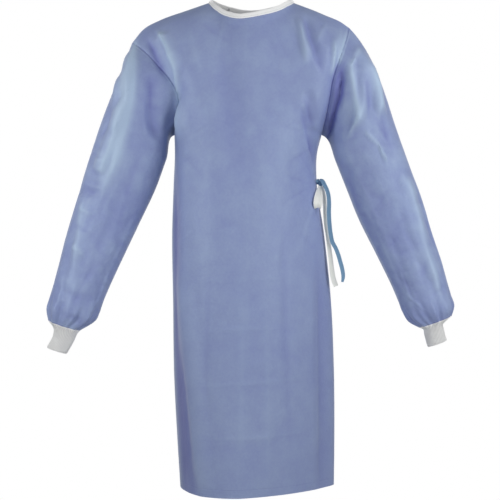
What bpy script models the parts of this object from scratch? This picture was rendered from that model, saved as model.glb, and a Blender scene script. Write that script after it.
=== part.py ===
"""Surgical gown of thin nonwoven cloth, in the hollow shape it has when it is worn.

Metres, +Z up. The front faces -Y and +X is the wearer's left.
The origin is the centre of the neck opening, level with the two neck points of the shoulder seams.
Every panel is a wall between an outer skin and an inner skin. All panels are cut from one common
surface, so neighbours share the points of a seam and stand half a seam gap back from it.
"""
import bpy
import bmesh
import numpy as np
from mathutils import Vector

# Cloth and seams
CLOTH = 0.0015            # wall of the gown's cloth
CUFF_WALL = 0.0018        # wall of the knit cuffs
SEAM_GAP = 0.0003         # space between two pieces at a seam
MITRE_LIMIT = 0.55        # smallest share by which a wall's step is lengthened at a sharp seam
LAP_OFFSET = 0.005        # how far the outer back layer stands off the inner one

# Main heights
HEM_Z = -1.155
WAIST_Z = -0.430          # height of the ties
UNDERARM_Z = -0.315       # last level section, where the side seams reach the armholes

# Steps along each stretch of the panels
ARMHOLE_STEPS = 8         # underarm to shoulder, on the front and on the back
SHOULDER_STEPS = 9
FRONT_NECK_STEPS = 12
BACK_NECK_STEPS = 14
SKIRT_STEPS = 14          # hem to waist
WAIST_STEPS = 3           # waist to underarm
CAP_STEPS = 5             # armhole to the first sleeve section
SLEEVE_LINES = 4 * ARMHOLE_STEPS
UNDERARM_ROW = SKIRT_STEPS + WAIST_STEPS
FRONT_STRETCHES = (SHOULDER_STEPS, FRONT_NECK_STEPS, SHOULDER_STEPS)
BACK_STRETCHES = (SHOULDER_STEPS, BACK_NECK_STEPS, SHOULDER_STEPS)
OUTER_EDGE = 4            # neck step where the outer back layer ends, counted from the left shoulder
INNER_EDGE = 10           # neck step where the inner back layer ends, counted the same way
LAP_BLEND = BACK_NECK_STEPS - INNER_EDGE   # columns over which the outer layer rises off the inner one

# Level sections of the body. left and right are the widest points, front_x and back_x the places of
# the front-most and back-most points, and a squareness of 2 is an ellipse, under 2 nearer a diamond.
SECTION_COLUMNS = ("z", "left", "right", "front_x", "front", "square_fl", "square_fr", "back_x", "back", "square_b")
SECTIONS = (
    (-1.155, -0.170, 0.1985, -0.032, 0.160, 2.2, 1.35, 0.010, 0.150, 2.0),
    (-1.030, -0.178, 0.1997, -0.031, 0.158, 2.2, 1.40, 0.008, 0.149, 2.0),
    (-0.880, -0.1855, 0.1985, -0.030, 0.155, 2.2, 1.45, 0.004, 0.146, 2.0),
    (-0.710, -0.188, 0.191, -0.029, 0.150, 2.2, 1.50, 0.000, 0.140, 2.0),
    (-0.545, -0.190, 0.1735, -0.028, 0.142, 2.2, 1.60, -0.006, 0.130, 2.1),
    (-0.430, -0.186, 0.157, -0.028, 0.136, 2.2, 1.70, -0.012, 0.121, 2.1),
    (-0.360, -0.183, 0.158, -0.027, 0.132, 2.2, 1.80, -0.010, 0.118, 2.1),
    (-0.315, -0.184, 0.169, -0.026, 0.128, 2.2, 1.90, -0.008, 0.115, 2.1),
)
SEAM_TURN = 7.0           # degrees that the side seams lie behind the widest points
RIM_PICK = (1.0, 2.3, 3.7)  # direction by which the edge faces pick their diagonals

SEWN_GROUPS = (("front", "back"), ("sleeve_right", "cuff_right"), ("sleeve_left", "cuff_left"))

# Share of a section's half girth at the ends of the stretches
FRONT_SHARES = (0.0, 0.32, 0.68, 1.0)
BACK_SHARES_TOP = (0.0, 0.29, 0.37, 0.63, 0.71, 1.0)
BACK_SHARES_HEM = (0.0, 0.20, 0.28, 0.72, 0.80, 1.0)
SIDE_REACH = 0.40         # share of the panel's width over which the armhole's line shapes it

# Seam lines, each through a few points (x, y, z)
RIGHT_ARMHOLE = ((-0.174, -0.028, -0.278), (-0.170, -0.055, -0.235), (-0.186, -0.070, -0.200),
                 (-0.215, -0.065, -0.165), (-0.243, -0.050, -0.133), (-0.268, -0.028, -0.110),
                 (-0.286, 0.0, -0.096))
LEFT_ARMHOLE = ((0.176, -0.032, -0.283), (0.183, -0.060, -0.240), (0.189, -0.072, -0.200),
                (0.202, -0.068, -0.157), (0.215, -0.050, -0.122), (0.227, -0.025, -0.088),
                (0.235, 0.0, -0.060))
RIGHT_SHOULDER = ((-0.286, 0.0, -0.096), (-0.257, 0.0, -0.062), (-0.218, 0.0, -0.041),
                  (-0.157, 0.0, -0.019), (-0.102, 0.0, 0.0))
LEFT_SHOULDER = ((0.235, 0.0, -0.060), (0.213, 0.0, -0.045), (0.176, 0.0, -0.029),
                 (0.155, 0.0, -0.020), (0.102, 0.0, 0.0))
FRONT_NECK = ((-0.102, 0.0, 0.0), (-0.084, -0.038, -0.024), (-0.064, -0.062, -0.041),
              (-0.031, -0.088, -0.054), (0.022, -0.085, -0.046), (0.067, -0.060, -0.029),
              (0.086, -0.038, -0.015), (0.102, 0.0, 0.0))
BACK_NECK = ((0.102, 0.0, 0.0), (0.072, 0.046, -0.006), (0.0, 0.074, -0.014),
             (-0.072, 0.046, -0.006), (-0.102, 0.0, 0.0))
BACK_ARMHOLE_DEPTH = 0.85  # depth of the back half of an armhole against its front half

# Sleeve and cuff sections: outer point (x, z), inner point (x, z), depth of the middle, half depth
SLEEVE_COLUMNS = ("outer_x", "outer_z", "inner_x", "inner_z", "y", "half_depth")
RIGHT_SLEEVE = (
    (-0.370, -0.320, -0.204, -0.377, -0.004, 0.070),
    (-0.393, -0.393, -0.230, -0.449, -0.008, 0.068),
    (-0.414, -0.469, -0.263, -0.521, -0.015, 0.064),
    (-0.435, -0.544, -0.296, -0.593, -0.024, 0.060),
    (-0.453, -0.620, -0.328, -0.664, -0.036, 0.054),
    (-0.465, -0.669, -0.348, -0.711, -0.044, 0.050),
    (-0.472, -0.701, -0.359, -0.741, -0.050, 0.047),
    (-0.477, -0.729, -0.371, -0.760, -0.055, 0.042),
    (-0.474, -0.759, -0.404, -0.781, -0.058, 0.030),
)
RIGHT_CUFF = (
    (-0.464, -0.775, -0.410, -0.790, -0.059, 0.024),
    (-0.464, -0.790, -0.416, -0.803, -0.060, 0.020),
    (-0.479, -0.821, -0.433, -0.836, -0.062, 0.019),
)
LEFT_SLEEVE = (
    (0.354, -0.323, 0.201, -0.377, -0.004, 0.070),
    (0.380, -0.397, 0.229, -0.449, -0.008, 0.068),
    (0.406, -0.469, 0.257, -0.521, -0.015, 0.064),
    (0.427, -0.545, 0.292, -0.593, -0.024, 0.060),
    (0.450, -0.620, 0.326, -0.664, -0.036, 0.054),
    (0.462, -0.670, 0.346, -0.711, -0.044, 0.050),
    (0.468, -0.698, 0.356, -0.737, -0.050, 0.047),
    (0.473, -0.722, 0.370, -0.759, -0.055, 0.042),
    (0.468, -0.748, 0.395, -0.774, -0.058, 0.030),
)
LEFT_CUFF = (
    (0.451, -0.765, 0.405, -0.779, -0.059, 0.024),
    (0.452, -0.778, 0.408, -0.791, -0.060, 0.020),
    (0.458, -0.804, 0.414, -0.820, -0.062, 0.019),
)
DOUBLED_SECTIONS = 5      # the first sleeve stretches are cut in two steps each
GATHERS = 8               # pleats round each sleeve where it is drawn into the cuff
GATHER_DEPTHS = {-3: 0.0015, -2: 0.0035, -1: 0.0025}   # by section, counted from the cuff

CALM_STEPS = (0.0, 0.1, 0.5, 0.8)   # share of the folds taken on and next to an armhole seam

# Folds that show from the front, and the like on the back: a line from (x0, z0) to (x1, z1) that
# bows sideways, a height (a trough is negative) and a half width
FOLD_COLUMNS = ("x0", "z0", "x1", "z1", "bow", "height", "half_width")
FRONT_FOLDS = (
    (-0.215, -0.085, -0.183, -0.150, 0.006, 0.0098, 0.026),
    (-0.180, -0.130, -0.160, -0.330, -0.006, 0.012, 0.024),
    (0.126, -0.040, 0.172, -0.170, -0.004, -0.0108, 0.020),
    (0.112, -0.045, 0.136, -0.150, 0.0, 0.007, 0.018),
    (0.129, -0.225, 0.150, -0.300, 0.0, -0.0084, 0.016),
    (0.122, -0.265, 0.147, -0.365, 0.004, -0.007, 0.018),
    (0.206, -0.150, 0.176, -0.310, 0.006, -0.0168, 0.024),
    (0.200, -0.090, 0.192, -0.180, 0.0, 0.0084, 0.014),
    (-0.170, -0.640, -0.116, -1.155, 0.010, 0.0084, 0.034),
    (0.165, -0.620, 0.172, -1.155, 0.0, -0.0084, 0.026),
    (-0.060, -0.150, -0.030, -0.420, 0.0, -0.0056, 0.050),
    (-0.287, -0.108, -0.281, -0.245, -0.006, 0.0112, 0.022),
    (-0.278, -0.235, -0.358, -0.420, -0.008, 0.0112, 0.024),
    (-0.313, -0.175, -0.319, -0.320, 0.0, 0.007, 0.018),
    (-0.225, -0.180, -0.222, -0.330, -0.010, -0.012, 0.024),
    (-0.412, -0.452, -0.350, -0.462, 0.0, -0.0108, 0.016),
    (-0.290, -0.420, -0.352, -0.600, 0.0, -0.0112, 0.022),
    (-0.395, -0.540, -0.420, -0.700, 0.0, 0.007, 0.020),
    (0.256, -0.110, 0.242, -0.310, 0.016, 0.0108, 0.022),
    (0.278, -0.145, 0.306, -0.275, 0.0, 0.0084, 0.018),
    (0.270, -0.310, 0.330, -0.385, 0.006, -0.0112, 0.018),
    (0.352, -0.400, 0.452, -0.690, -0.010, 0.0084, 0.024),
    (0.262, -0.390, 0.372, -0.690, 0.006, -0.0098, 0.024),
)
BACK_FOLDS = (
    (-0.150, -0.060, -0.172, -0.300, 0.010, -0.012, 0.026),
    (0.140, -0.060, 0.168, -0.300, -0.010, -0.012, 0.026),
    (-0.100, -0.300, -0.090, -0.620, 0.008, -0.0084, 0.030),
    (0.060, -0.350, 0.020, -0.760, 0.010, 0.0084, 0.034),
    (-0.120, -0.640, -0.100, -1.155, 0.0, 0.0098, 0.036),
    (-0.010, -0.560, -0.030, -1.155, 0.008, -0.0098, 0.036),
    (0.110, -0.600, 0.120, -1.155, 0.0, 0.0084, 0.030),
    (-0.270, -0.130, -0.330, -0.420, 0.010, 0.0112, 0.024),
    (-0.230, -0.260, -0.300, -0.470, 0.0, -0.0108, 0.022),
    (-0.400, -0.480, -0.340, -0.520, 0.0, -0.0112, 0.018),
    (0.250, -0.120, 0.310, -0.400, -0.010, 0.0112, 0.024),
    (0.225, -0.250, 0.290, -0.470, 0.0, -0.0108, 0.022),
    (0.395, -0.490, 0.330, -0.530, 0.0, -0.0112, 0.018),
    (-0.350, -0.560, -0.420, -0.700, 0.0, 0.0084, 0.022),
    (0.345, -0.560, 0.415, -0.690, 0.0, 0.0084, 0.022),
)

# Binding round the neck
BINDING_HEIGHT = 0.011
BINDING_WALL = 0.0024
BINDING_RISE = 0.8        # how much the binding turns up out of the cloth's own slope

# Ties: flat strips through a few points (x, y, z, width)
TIE_WALL = 0.0012
BELT_WIDTH = 0.010
BELT_PAST_SEAM = 0.95     # how far the belt goes past the side seam, in columns of the front
BELT_CLOSE = 0.0020       # how far the belt's middle lies off the cloth at the side
BELT_END = 0.0033         # the same at its end, where it turns out to the knot
KNOT_CENTRE = (0.1675, -0.007, -0.432)
KNOT_RADII = (0.0085, 0.0085, 0.010)
STRIP_ACROSS = (0.96, 0.28, 0.0)   # width direction of the hanging ties
BLUE_TAIL = ((0.1769, -0.0095, -0.4368, 0.005), (0.181, -0.016, -0.450, 0.009), (0.183, -0.024, -0.470, 0.010),
             (0.1845, -0.029, -0.500, 0.010), (0.187, -0.031, -0.540, 0.010), (0.194, -0.031, -0.575, 0.010),
             (0.206, -0.031, -0.605, 0.010), (0.2155, -0.031, -0.640, 0.010), (0.2145, -0.031, -0.670, 0.010))
WHITE_TAIL = ((0.1704, -0.0042, -0.4422, 0.006), (0.1725, -0.010, -0.458, 0.010), (0.1735, -0.018, -0.485, 0.012),
              (0.1755, -0.021, -0.520, 0.012), (0.180, -0.022, -0.555, 0.012), (0.187, -0.022, -0.590, 0.012),
              (0.190, -0.022, -0.625, 0.012), (0.2015, -0.022, -0.679, 0.012))
WHITE_LOOP = ((0.1645, -0.0135, -0.4380, 0.006), (0.1610, -0.034, -0.453, 0.009), (0.1585, -0.046, -0.469, 0.013),
              (0.1575, -0.051, -0.483, 0.014), (0.1600, -0.0430, -0.4935, 0.014), (0.1635, -0.034, -0.484, 0.013),
              (0.1650, -0.030, -0.470, 0.011), (0.1665, -0.022, -0.456, 0.008), (0.1670, -0.0125, -0.4445, 0.005))

# Colours (linear), roughness
MATERIALS = {
    "blue_cloth": ((0.227, 0.278, 0.474), 0.72),
    "white_knit": ((0.51, 0.51, 0.50), 0.90),
    "white_binding": ((0.75, 0.75, 0.74), 0.80),
    "blue_tie": ((0.13, 0.24, 0.36), 0.75),
    "white_tie": ((0.73, 0.74, 0.69), 0.80),
}


def unit(vectors):
    """Vectors scaled to length one."""
    vectors = np.asarray(vectors, float)
    return vectors / np.maximum(np.linalg.norm(vectors, axis=-1, keepdims=True), 1e-12)


def mix(a, b, share):
    """Straight blend from a to b."""
    return np.asarray(a, float) * (1.0 - share) + np.asarray(b, float) * share


def spline(knots, values, at):
    """Smooth curve through a table: cubic pieces whose slopes come from the rows on either side."""
    knots = np.asarray(knots, float)
    values = np.asarray(values, float).reshape(len(knots), -1)
    slopes = np.gradient(values, knots, axis=0)
    at = np.clip(np.atleast_1d(np.asarray(at, float)), knots[0], knots[-1])
    piece = np.clip(np.searchsorted(knots, at, side="right") - 1, 0, len(knots) - 2)
    step = (knots[piece + 1] - knots[piece])[:, None]
    t = ((at - knots[piece])[:, None]) / step
    return ((2 * t**3 - 3 * t**2 + 1) * values[piece] + (t**3 - 2 * t**2 + t) * step * slopes[piece]
            + (3 * t**2 - 2 * t**3) * values[piece + 1] + (t**3 - t**2) * step * slopes[piece + 1])


def along(points, shares):
    """Points at the given shares of a dense line's length."""
    lengths = np.concatenate(([0.0], np.cumsum(np.linalg.norm(np.diff(points, axis=0), axis=1))))
    want = np.asarray(shares, float) * lengths[-1]
    return np.stack([np.interp(want, lengths, points[:, axis]) for axis in range(points.shape[1])], axis=1)


def curve(points, steps):
    """A smooth line through a few points, cut into equal steps."""
    points = np.asarray(points, float)
    knots = np.concatenate(([0.0], np.cumsum(np.linalg.norm(np.diff(points[:, :3], axis=0), axis=1))))
    dense = spline(knots, points, np.linspace(0.0, knots[-1], 240))
    return along(dense, np.linspace(0.0, 1.0, steps + 1))


def hermite(start, end, start_slope, end_slope, t):
    """Cubic from start to end with the given slopes, at the shares t."""
    t = np.asarray(t, float)[:, None]
    return ((2 * t**3 - 3 * t**2 + 1) * start + (t**3 - 2 * t**2 + t) * start_slope
            + (3 * t**2 - 2 * t**3) * end + (t**3 - t**2) * end_slope)


def smooth_step(share):
    """0 below 0, 1 above 1, and smooth between."""
    share = np.clip(share, 0.0, 1.0)
    return share * share * (3.0 - 2.0 * share)


def section_line(z, back):
    """Dense line round the front half or the back half of the body at one height."""
    knots = [row[0] for row in SECTIONS]
    row = dict(zip(SECTION_COLUMNS[1:], spline(knots, [r[1:] for r in SECTIONS], z)[0]))
    turn = np.radians(np.linspace(-90.0 - SEAM_TURN, 90.0 + SEAM_TURN, 361))
    if back:
        turn = np.radians(np.linspace(90.0 + SEAM_TURN, 270.0 - SEAM_TURN, 361))
    ahead = np.cos(turn) >= 0.0
    side = np.sin(turn)
    middle = np.where(ahead, row["front_x"], row["back_x"])
    reach = np.where(side > 0.0, row["right"] - middle, middle - row["left"])
    front_square = np.where(side > 0.0, row["square_fr"], row["square_fl"])
    square = np.where(ahead, front_square, row["square_b"])
    depth = np.where(ahead, -row["front"], row["back"])
    x = middle + reach * np.sign(side) * np.abs(side) ** (2.0 / square)
    y = depth * np.abs(np.cos(turn)) ** (2.0 / square)
    return np.stack([x, y, np.full_like(x, z)], axis=1)


def column_shares(breaks, steps):
    """Shares of the girth for every column, with equal steps inside each stretch."""
    parts = [np.linspace(a, b, n, endpoint=False) for a, b, n in zip(breaks[:-1], breaks[1:], steps)]
    return np.concatenate(parts + [[breaks[-1]]])


def front_shares(z):
    return column_shares(FRONT_SHARES, FRONT_STRETCHES)


def back_shares(z):
    breaks = mix(BACK_SHARES_TOP, BACK_SHARES_HEM, (UNDERARM_Z - z) / (UNDERARM_Z - HEM_Z))
    steps = (SHOULDER_STEPS, OUTER_EDGE, INNER_EDGE - OUTER_EDGE, BACK_NECK_STEPS - INNER_EDGE, SHOULDER_STEPS)
    return column_shares(breaks, steps)


def armhole(side, back):
    """One half of an armhole, from the underarm point up to the shoulder point."""
    points = np.array(RIGHT_ARMHOLE if side < 0 else LEFT_ARMHOLE, float)
    if back:
        points[:, 1] *= -BACK_ARMHOLE_DEPTH
    underarm = section_line(UNDERARM_Z, False)[0 if side < 0 else -1]
    return curve(np.concatenate(([underarm], points)), ARMHOLE_STEPS)


def top_edge(back):
    """Shoulder, neck and shoulder, and the direction in which the cloth arrives there."""
    face = -1.0 if back else 1.0
    lines = (RIGHT_SHOULDER, FRONT_NECK, LEFT_SHOULDER[::-1])
    if back:
        lines = (LEFT_SHOULDER, BACK_NECK, RIGHT_SHOULDER[::-1])
    stretches = BACK_STRETCHES if back else FRONT_STRETCHES
    first, neck, last = [curve(line, steps) for line, steps in zip(lines, stretches)]
    side = -face
    share = np.linspace(0.0, 1.0, SHOULDER_STEPS + 1)[:, None]
    first_slopes = mix((side * 0.70, face * 0.60, 0.35), (0.0, face, 0.30), share)
    last_slopes = (first_slopes * (-1.0, 1.0, 1.0))[::-1]
    neck_share = np.sin(np.pi * np.linspace(0.0, 1.0, len(neck)))[:, None] ** 0.7
    neck_slopes = mix((0.0, face, 0.30), (0.0, 0.35 * face, 0.94), neck_share)
    points = np.concatenate((first[:-1], neck, last[1:]))
    slopes = np.concatenate((first_slopes[:-1], neck_slopes, last_slopes[1:]))
    return points, unit(slopes)


def body_grid(back):
    """Points of the whole front or the whole back, row by row from the hem to the seams on top."""
    shares = back_shares if back else front_shares
    levels = np.concatenate((np.linspace(HEM_Z, WAIST_Z, SKIRT_STEPS, endpoint=False),
                             np.linspace(WAIST_Z, UNDERARM_Z, WAIST_STEPS + 1)))
    rows = [along(section_line(z, back), shares(z)) for z in levels]
    start = rows[-1]
    below = along(section_line(UNDERARM_Z - 0.01, back), shares(UNDERARM_Z))
    leave = (start - below) / 0.01
    top, arrive = top_edge(back)
    reach = np.linalg.norm(top - start, axis=1)[:, None]
    share = np.linspace(0.0, 1.0, ARMHOLE_STEPS + 1)
    yoke = np.stack([hermite(c, e, a * r, b * r, share)
                     for c, e, a, b, r in zip(start, top, leave, arrive, reach)], axis=1)
    first_side = 1 if back else -1
    place = shares(UNDERARM_Z)
    first_pull = (armhole(first_side, back) - yoke[:, 0])[:, None]
    last_pull = (armhole(-first_side, back) - yoke[:, -1])[:, None]
    yoke = (yoke + first_pull * (1.0 - smooth_step(place / SIDE_REACH))[None, :, None]
            + last_pull * (1.0 - smooth_step((1.0 - place) / SIDE_REACH))[None, :, None])
    return np.concatenate((rows, yoke[1:]))


def sleeve_sections(table):
    """Sections down a sleeve, with the long stretches cut in two."""
    table = np.array(table, float)
    knots = np.arange(len(table))
    at = sorted(set(knots) | set(np.arange(DOUBLED_SECTIONS) + 0.5))
    return spline(knots, table, at)


def section_ring(row, side, gather=0.0):
    """One closed section of a sleeve or cuff, from its inner point round to it again."""
    place = dict(zip(SLEEVE_COLUMNS, row))
    outer = np.array((place["outer_x"], place["y"], place["outer_z"]))
    inner = np.array((place["inner_x"], place["y"], place["inner_z"]))
    middle = (outer + inner) / 2.0
    angle = np.linspace(0.0, 2.0 * np.pi, SLEEVE_LINES, endpoint=False)[:, None]
    ripple = gather * np.cos(GATHERS * angle)
    across = inner - middle
    width = np.linalg.norm(across)
    return (middle + across * np.cos(angle) * (1.0 + ripple / width)
            + np.array((0.0, side, 0.0)) * np.sin(angle) * (place["half_depth"] + ripple))


def sleeve_grid(side):
    """Points of a sleeve from the armhole to the cuff, for side -1 (wearer's right) or 1 (left)."""
    table = RIGHT_SLEEVE if side < 0 else LEFT_SLEEVE
    up_front = armhole(side, False)
    up_back = armhole(side, True)
    first, second = (up_front, up_back) if side < 0 else (up_back, up_front)
    loop = np.concatenate((first[:-1], second[::-1][:-1]))
    seam = np.zeros((SLEEVE_LINES, 3))
    seam[0::2] = loop
    seam[1::2] = (loop + np.roll(loop, -1, axis=0)) / 2.0

    sections = sleeve_sections(table)
    gathers = np.zeros(len(sections))
    for place, depth in GATHER_DEPTHS.items():
        gathers[place] = depth
    rings = [section_ring(row, side, g) for row, g in zip(sections, gathers)]

    share = np.linspace(0.0, 2.0, SLEEVE_LINES, endpoint=False)
    height = np.where(share <= 1.0, share, 2.0 - share)[:, None]
    swell = np.sin(np.pi * height)
    forward = np.where(share <= 1.0, 1.0, -1.0)[:, None] * side
    top_slope = (-0.35, 0.0, -0.94) if side < 0 else (0.70, 0.0, -0.71)
    leave = mix((side * 0.96, 0.0, -0.25), top_slope, height)
    leave = unit(leave + swell * (forward * (0.0, 0.55, 0.0) + np.array((side * 0.45, 0.0, 0.0))))
    arrive = unit(rings[1] - rings[0])
    reach = np.linalg.norm(rings[0] - seam, axis=1)[:, None]
    rows = [seam]
    for step in range(1, CAP_STEPS):
        t = step / CAP_STEPS
        rows.append(np.array([hermite(s, e, a * r, b * r, [t])[0]
                              for s, e, a, b, r in zip(seam, rings[0], leave, arrive, reach)]))
    return np.array(rows + rings)


def cuff_grid(side, seam):
    """Points of a cuff, from the sleeve's last ring down to its open end."""
    table = RIGHT_CUFF if side < 0 else LEFT_CUFF
    return np.array([seam] + [section_ring(row, side) for row in table])


def grid_normals(grid, closed):
    """Normals of a grid's own faces at each of its points."""
    total = np.zeros_like(grid)
    columns = grid.shape[1] if closed else grid.shape[1] - 1
    for c in range(columns):
        d = (c + 1) % grid.shape[1]
        face = np.cross(grid[1:, d] - grid[:-1, c], grid[1:, c] - grid[:-1, d])
        for place in (total[1:, c], total[:-1, c], total[1:, d], total[:-1, d]):
            place += face
    return unit(total)


def shared_normals(grids):
    """Normals that are the same wherever grids share a point, midway between the grids' own.
    At the underarm the body's two panels count as one against the sleeve."""
    points = np.concatenate([grid.reshape(-1, 3) for grid, _ in grids.values()])
    keys, place = np.unique(np.round(points, 6), axis=0, return_inverse=True)
    ends = np.cumsum([grid.size // 3 for grid, _ in grids.values()])[:-1]
    places = dict(zip(grids, np.split(place.reshape(-1), ends)))
    total = np.zeros((len(keys), 3))
    for group in SEWN_GROUPS:
        added = np.zeros_like(total)
        for name in group:
            np.add.at(added, places[name], grid_normals(*grids[name]).reshape(-1, 3))
        total += unit(added)
    total = unit(total)
    return {name: total[places[name]].reshape(grid.shape) for name, (grid, _) in grids.items()}


def inner_skin(outer, normals, thickness, closed=False):
    """The wall's other side. Where a seam folds sharply the step is longer, so the wall keeps its thickness."""
    slant = np.sum(grid_normals(outer, closed) * normals, axis=2, keepdims=True)
    return outer - normals * thickness / np.clip(slant, MITRE_LIMIT, 1.0)


def fold_heights(points, normals):
    """How far the folds lift or sink each point."""
    total = np.zeros(points.shape[:-1])
    for folds, face in ((FRONT_FOLDS, -1.0), (BACK_FOLDS, 1.0)):
        seen = smooth_step((face * normals[..., 1] + 0.05) / 0.35)
        for row in folds:
            fold = dict(zip(FOLD_COLUMNS, row))
            start = np.array((fold["x0"], fold["z0"]))
            line = np.array((fold["x1"], fold["z1"])) - start
            length = np.linalg.norm(line)
            place = points[..., (0, 2)] - start
            share = (place @ line) / length**2
            middle = 1.0 - (2.0 * np.clip(share, 0.0, 1.0) - 1.0) ** 2
            off = (place @ np.array((-line[1], line[0]))) / length - fold["bow"] * middle
            across = np.clip(1.0 - (off / fold["half_width"]) ** 2, 0.0, 1.0) ** 2
            ends = smooth_step((share + 0.08) / 0.25) * smooth_step((1.08 - share) / 0.25)
            total += fold["height"] * across * ends * seen
    return total


def calm_edges(name, shape):
    """Share of the folds that each point takes: none on the armhole seams, all of it further off."""
    share = np.ones(shape[:2])
    if name.startswith("sleeve"):
        share[:len(CALM_STEPS)] *= np.array(CALM_STEPS)[:, None]
    elif name in ("front", "back"):
        rows = smooth_step((np.arange(shape[0]) - UNDERARM_ROW + 3) / 3.0)
        for step, kept in enumerate(CALM_STEPS):
            share[:, step] = share[:, -1 - step] = 1.0 - rows * (1.0 - kept)
    return share


def stand_back(line, normals, inside):
    """Vectors half a seam gap long, in the cloth's surface, from a seam towards the piece's inside."""
    run = np.gradient(line, axis=0)
    out = np.cross(normals, run)
    return unit(out) * np.sign(np.sum(out * (inside - line))) * SEAM_GAP / 2.0


def corner(first, second):
    """Shift that stands a corner back from both of its seams."""
    turn = float(unit(first) @ unit(second))
    return (first + second) / max(1.0 + turn, 0.5)


def edge_shifts(line, normals, inside, marks):
    """Seam shifts along one side of a panel, which turns a corner at each of the marks."""
    shifts = np.zeros_like(line)
    for a, b in zip(marks[:-1], marks[1:]):
        part = stand_back(line[a:b + 1], normals[a:b + 1], inside[a:b + 1])
        if a > 0:
            part[0] = corner(shifts[a], part[0])
        shifts[a:b + 1] = part
    return shifts


def panel_shifts(grid, normals, breaks, sides):
    """Seam shifts for a body panel: its top edge and the sides that are sewn."""
    last = grid.shape[1] - 1
    marks = sorted({0, last, *[b for b in breaks if 0 < b < last]})
    shifts = np.zeros_like(grid)
    shifts[-1] = edge_shifts(grid[-1], normals[-1], grid[-2], marks)
    for column, inside in sides:
        part = edge_shifts(grid[:, column], normals[:, column], grid[:, inside],
                           (0, UNDERARM_ROW, grid.shape[0] - 1))
        part[-1] = corner(part[-1], shifts[-1, column])
        shifts[:, column] = part
    return shifts


def ring_shift(line, normals, inside):
    """Seam shift round a closed ring."""
    wrapped = [np.concatenate((a[-1:], a, a[:1])) for a in (line, normals, inside)]
    return stand_back(*wrapped)[1:-1]


def wall(name, outer, inner, material, closed=False):
    """One closed solid between an outer and an inner skin."""
    rows, columns = outer.shape[:2]
    mesh = bmesh.new()
    skins = []
    for skin in (outer, inner):
        skins.append([[mesh.verts.new(skin[r, c]) for c in range(columns)] for r in range(rows)])
    out, ins = skins

    def rim(a, b, r, s):
        """Edge face; its diagonal is picked by place, so that the two sides of a seam agree."""
        if (out[a][b].co - out[r][s].co).dot(Vector(RIM_PICK)) > 0.0:
            mesh.faces.new((out[a][b], out[r][s], ins[a][b]))
            mesh.faces.new((out[r][s], ins[r][s], ins[a][b]))
        else:
            mesh.faces.new((out[a][b], out[r][s], ins[r][s]))
            mesh.faces.new((out[a][b], ins[r][s], ins[a][b]))

    for c in range(columns if closed else columns - 1):
        d = (c + 1) % columns
        for r in range(rows - 1):
            mesh.faces.new((out[r][c], out[r][d], out[r + 1][d]))
            mesh.faces.new((out[r][c], out[r + 1][d], out[r + 1][c]))
            mesh.faces.new((ins[r][d], ins[r][c], ins[r + 1][d]))
            mesh.faces.new((ins[r][c], ins[r + 1][c], ins[r + 1][d]))
        rim(0, d, 0, c)
        rim(-1, c, -1, d)
    if not closed:
        for r in range(rows - 1):
            rim(r, 0, r + 1, 0)
            rim(r + 1, -1, r, -1)
    data = bpy.data.meshes.new(name)
    mesh.to_mesh(data)
    mesh.free()
    data.shade_smooth()
    data.set_sharp_from_angle(angle=np.radians(50.0))
    item = bpy.data.objects.new(name, data)
    bpy.context.collection.objects.link(item)
    item.data.materials.append(bpy.data.materials[material])
    return item


def strip(name, points, widths, across, thick, material):
    """A flat strip along a line: across is its width direction and thick its thickness vector."""
    half = across * np.asarray(widths, float)[:, None] / 2.0
    outer = np.stack([points - half, points + half], axis=0) + thick / 2.0
    inner = np.stack([points - half, points + half], axis=0) - thick / 2.0
    run = np.gradient(points, axis=0)
    face = np.cross(run, across)
    if np.sum(face * thick) < 0.0:
        outer, inner = outer[::-1], inner[::-1]
    return wall(name, outer, inner, material)


def hanging_strip(name, table, material):
    """A tie's free stretch, its face turned to the front."""
    line = curve(table, 3 * len(table))
    points, widths = line[:, :3], line[:, 3]
    run = unit(np.gradient(points, axis=0))
    across = unit(STRIP_ACROSS - run * (run @ np.array(STRIP_ACROSS))[:, None])
    thick = unit(np.cross(across, run)) * TIE_WALL
    return strip(name, points, widths, across, thick, material)


def make_materials():
    for name, (colour, roughness) in MATERIALS.items():
        material = bpy.data.materials.new(name)
        material.use_nodes = True
        shader = material.node_tree.nodes["Principled BSDF"]
        shader.inputs["Base Color"].default_value = (*colour, 1.0)
        shader.inputs["Roughness"].default_value = roughness
        shader.inputs["Metallic"].default_value = 0.0


def make_surfaces():
    """The common surface of the whole gown, with its folds, and its normals."""
    grids = {"front": (body_grid(False), False), "back": (body_grid(True), False)}
    for name, side in (("right", -1), ("left", 1)):
        sleeve = sleeve_grid(side)
        grids["sleeve_" + name] = (sleeve, True)
        grids["cuff_" + name] = (cuff_grid(side, sleeve[-1]), True)
    normals = shared_normals(grids)
    for name, (grid, closed) in grids.items():
        heights = fold_heights(grid, normals[name]) * calm_edges(name, grid.shape)
        grid += normals[name] * heights[..., None]
        if name.startswith("sleeve"):
            loop = grid[0, 0::2]
            grid[0, 1::2] = (loop + np.roll(loop, -1, axis=0)) / 2.0
    normals = shared_normals(grids)
    for name in ("sleeve_right", "sleeve_left"):
        loop = normals[name][0, 0::2]
        normals[name][0, 1::2] = (loop + np.roll(loop, -1, axis=0)) / 2.0
    return {name: grid for name, (grid, _) in grids.items()}, normals


def make_front(grid, normals):
    breaks = np.cumsum(FRONT_STRETCHES)
    outer = grid + panel_shifts(grid, normals, breaks, ((0, 1), (-1, -2)))
    wall("front_panel", outer, inner_skin(outer, normals, CLOTH), "blue_cloth")


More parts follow.
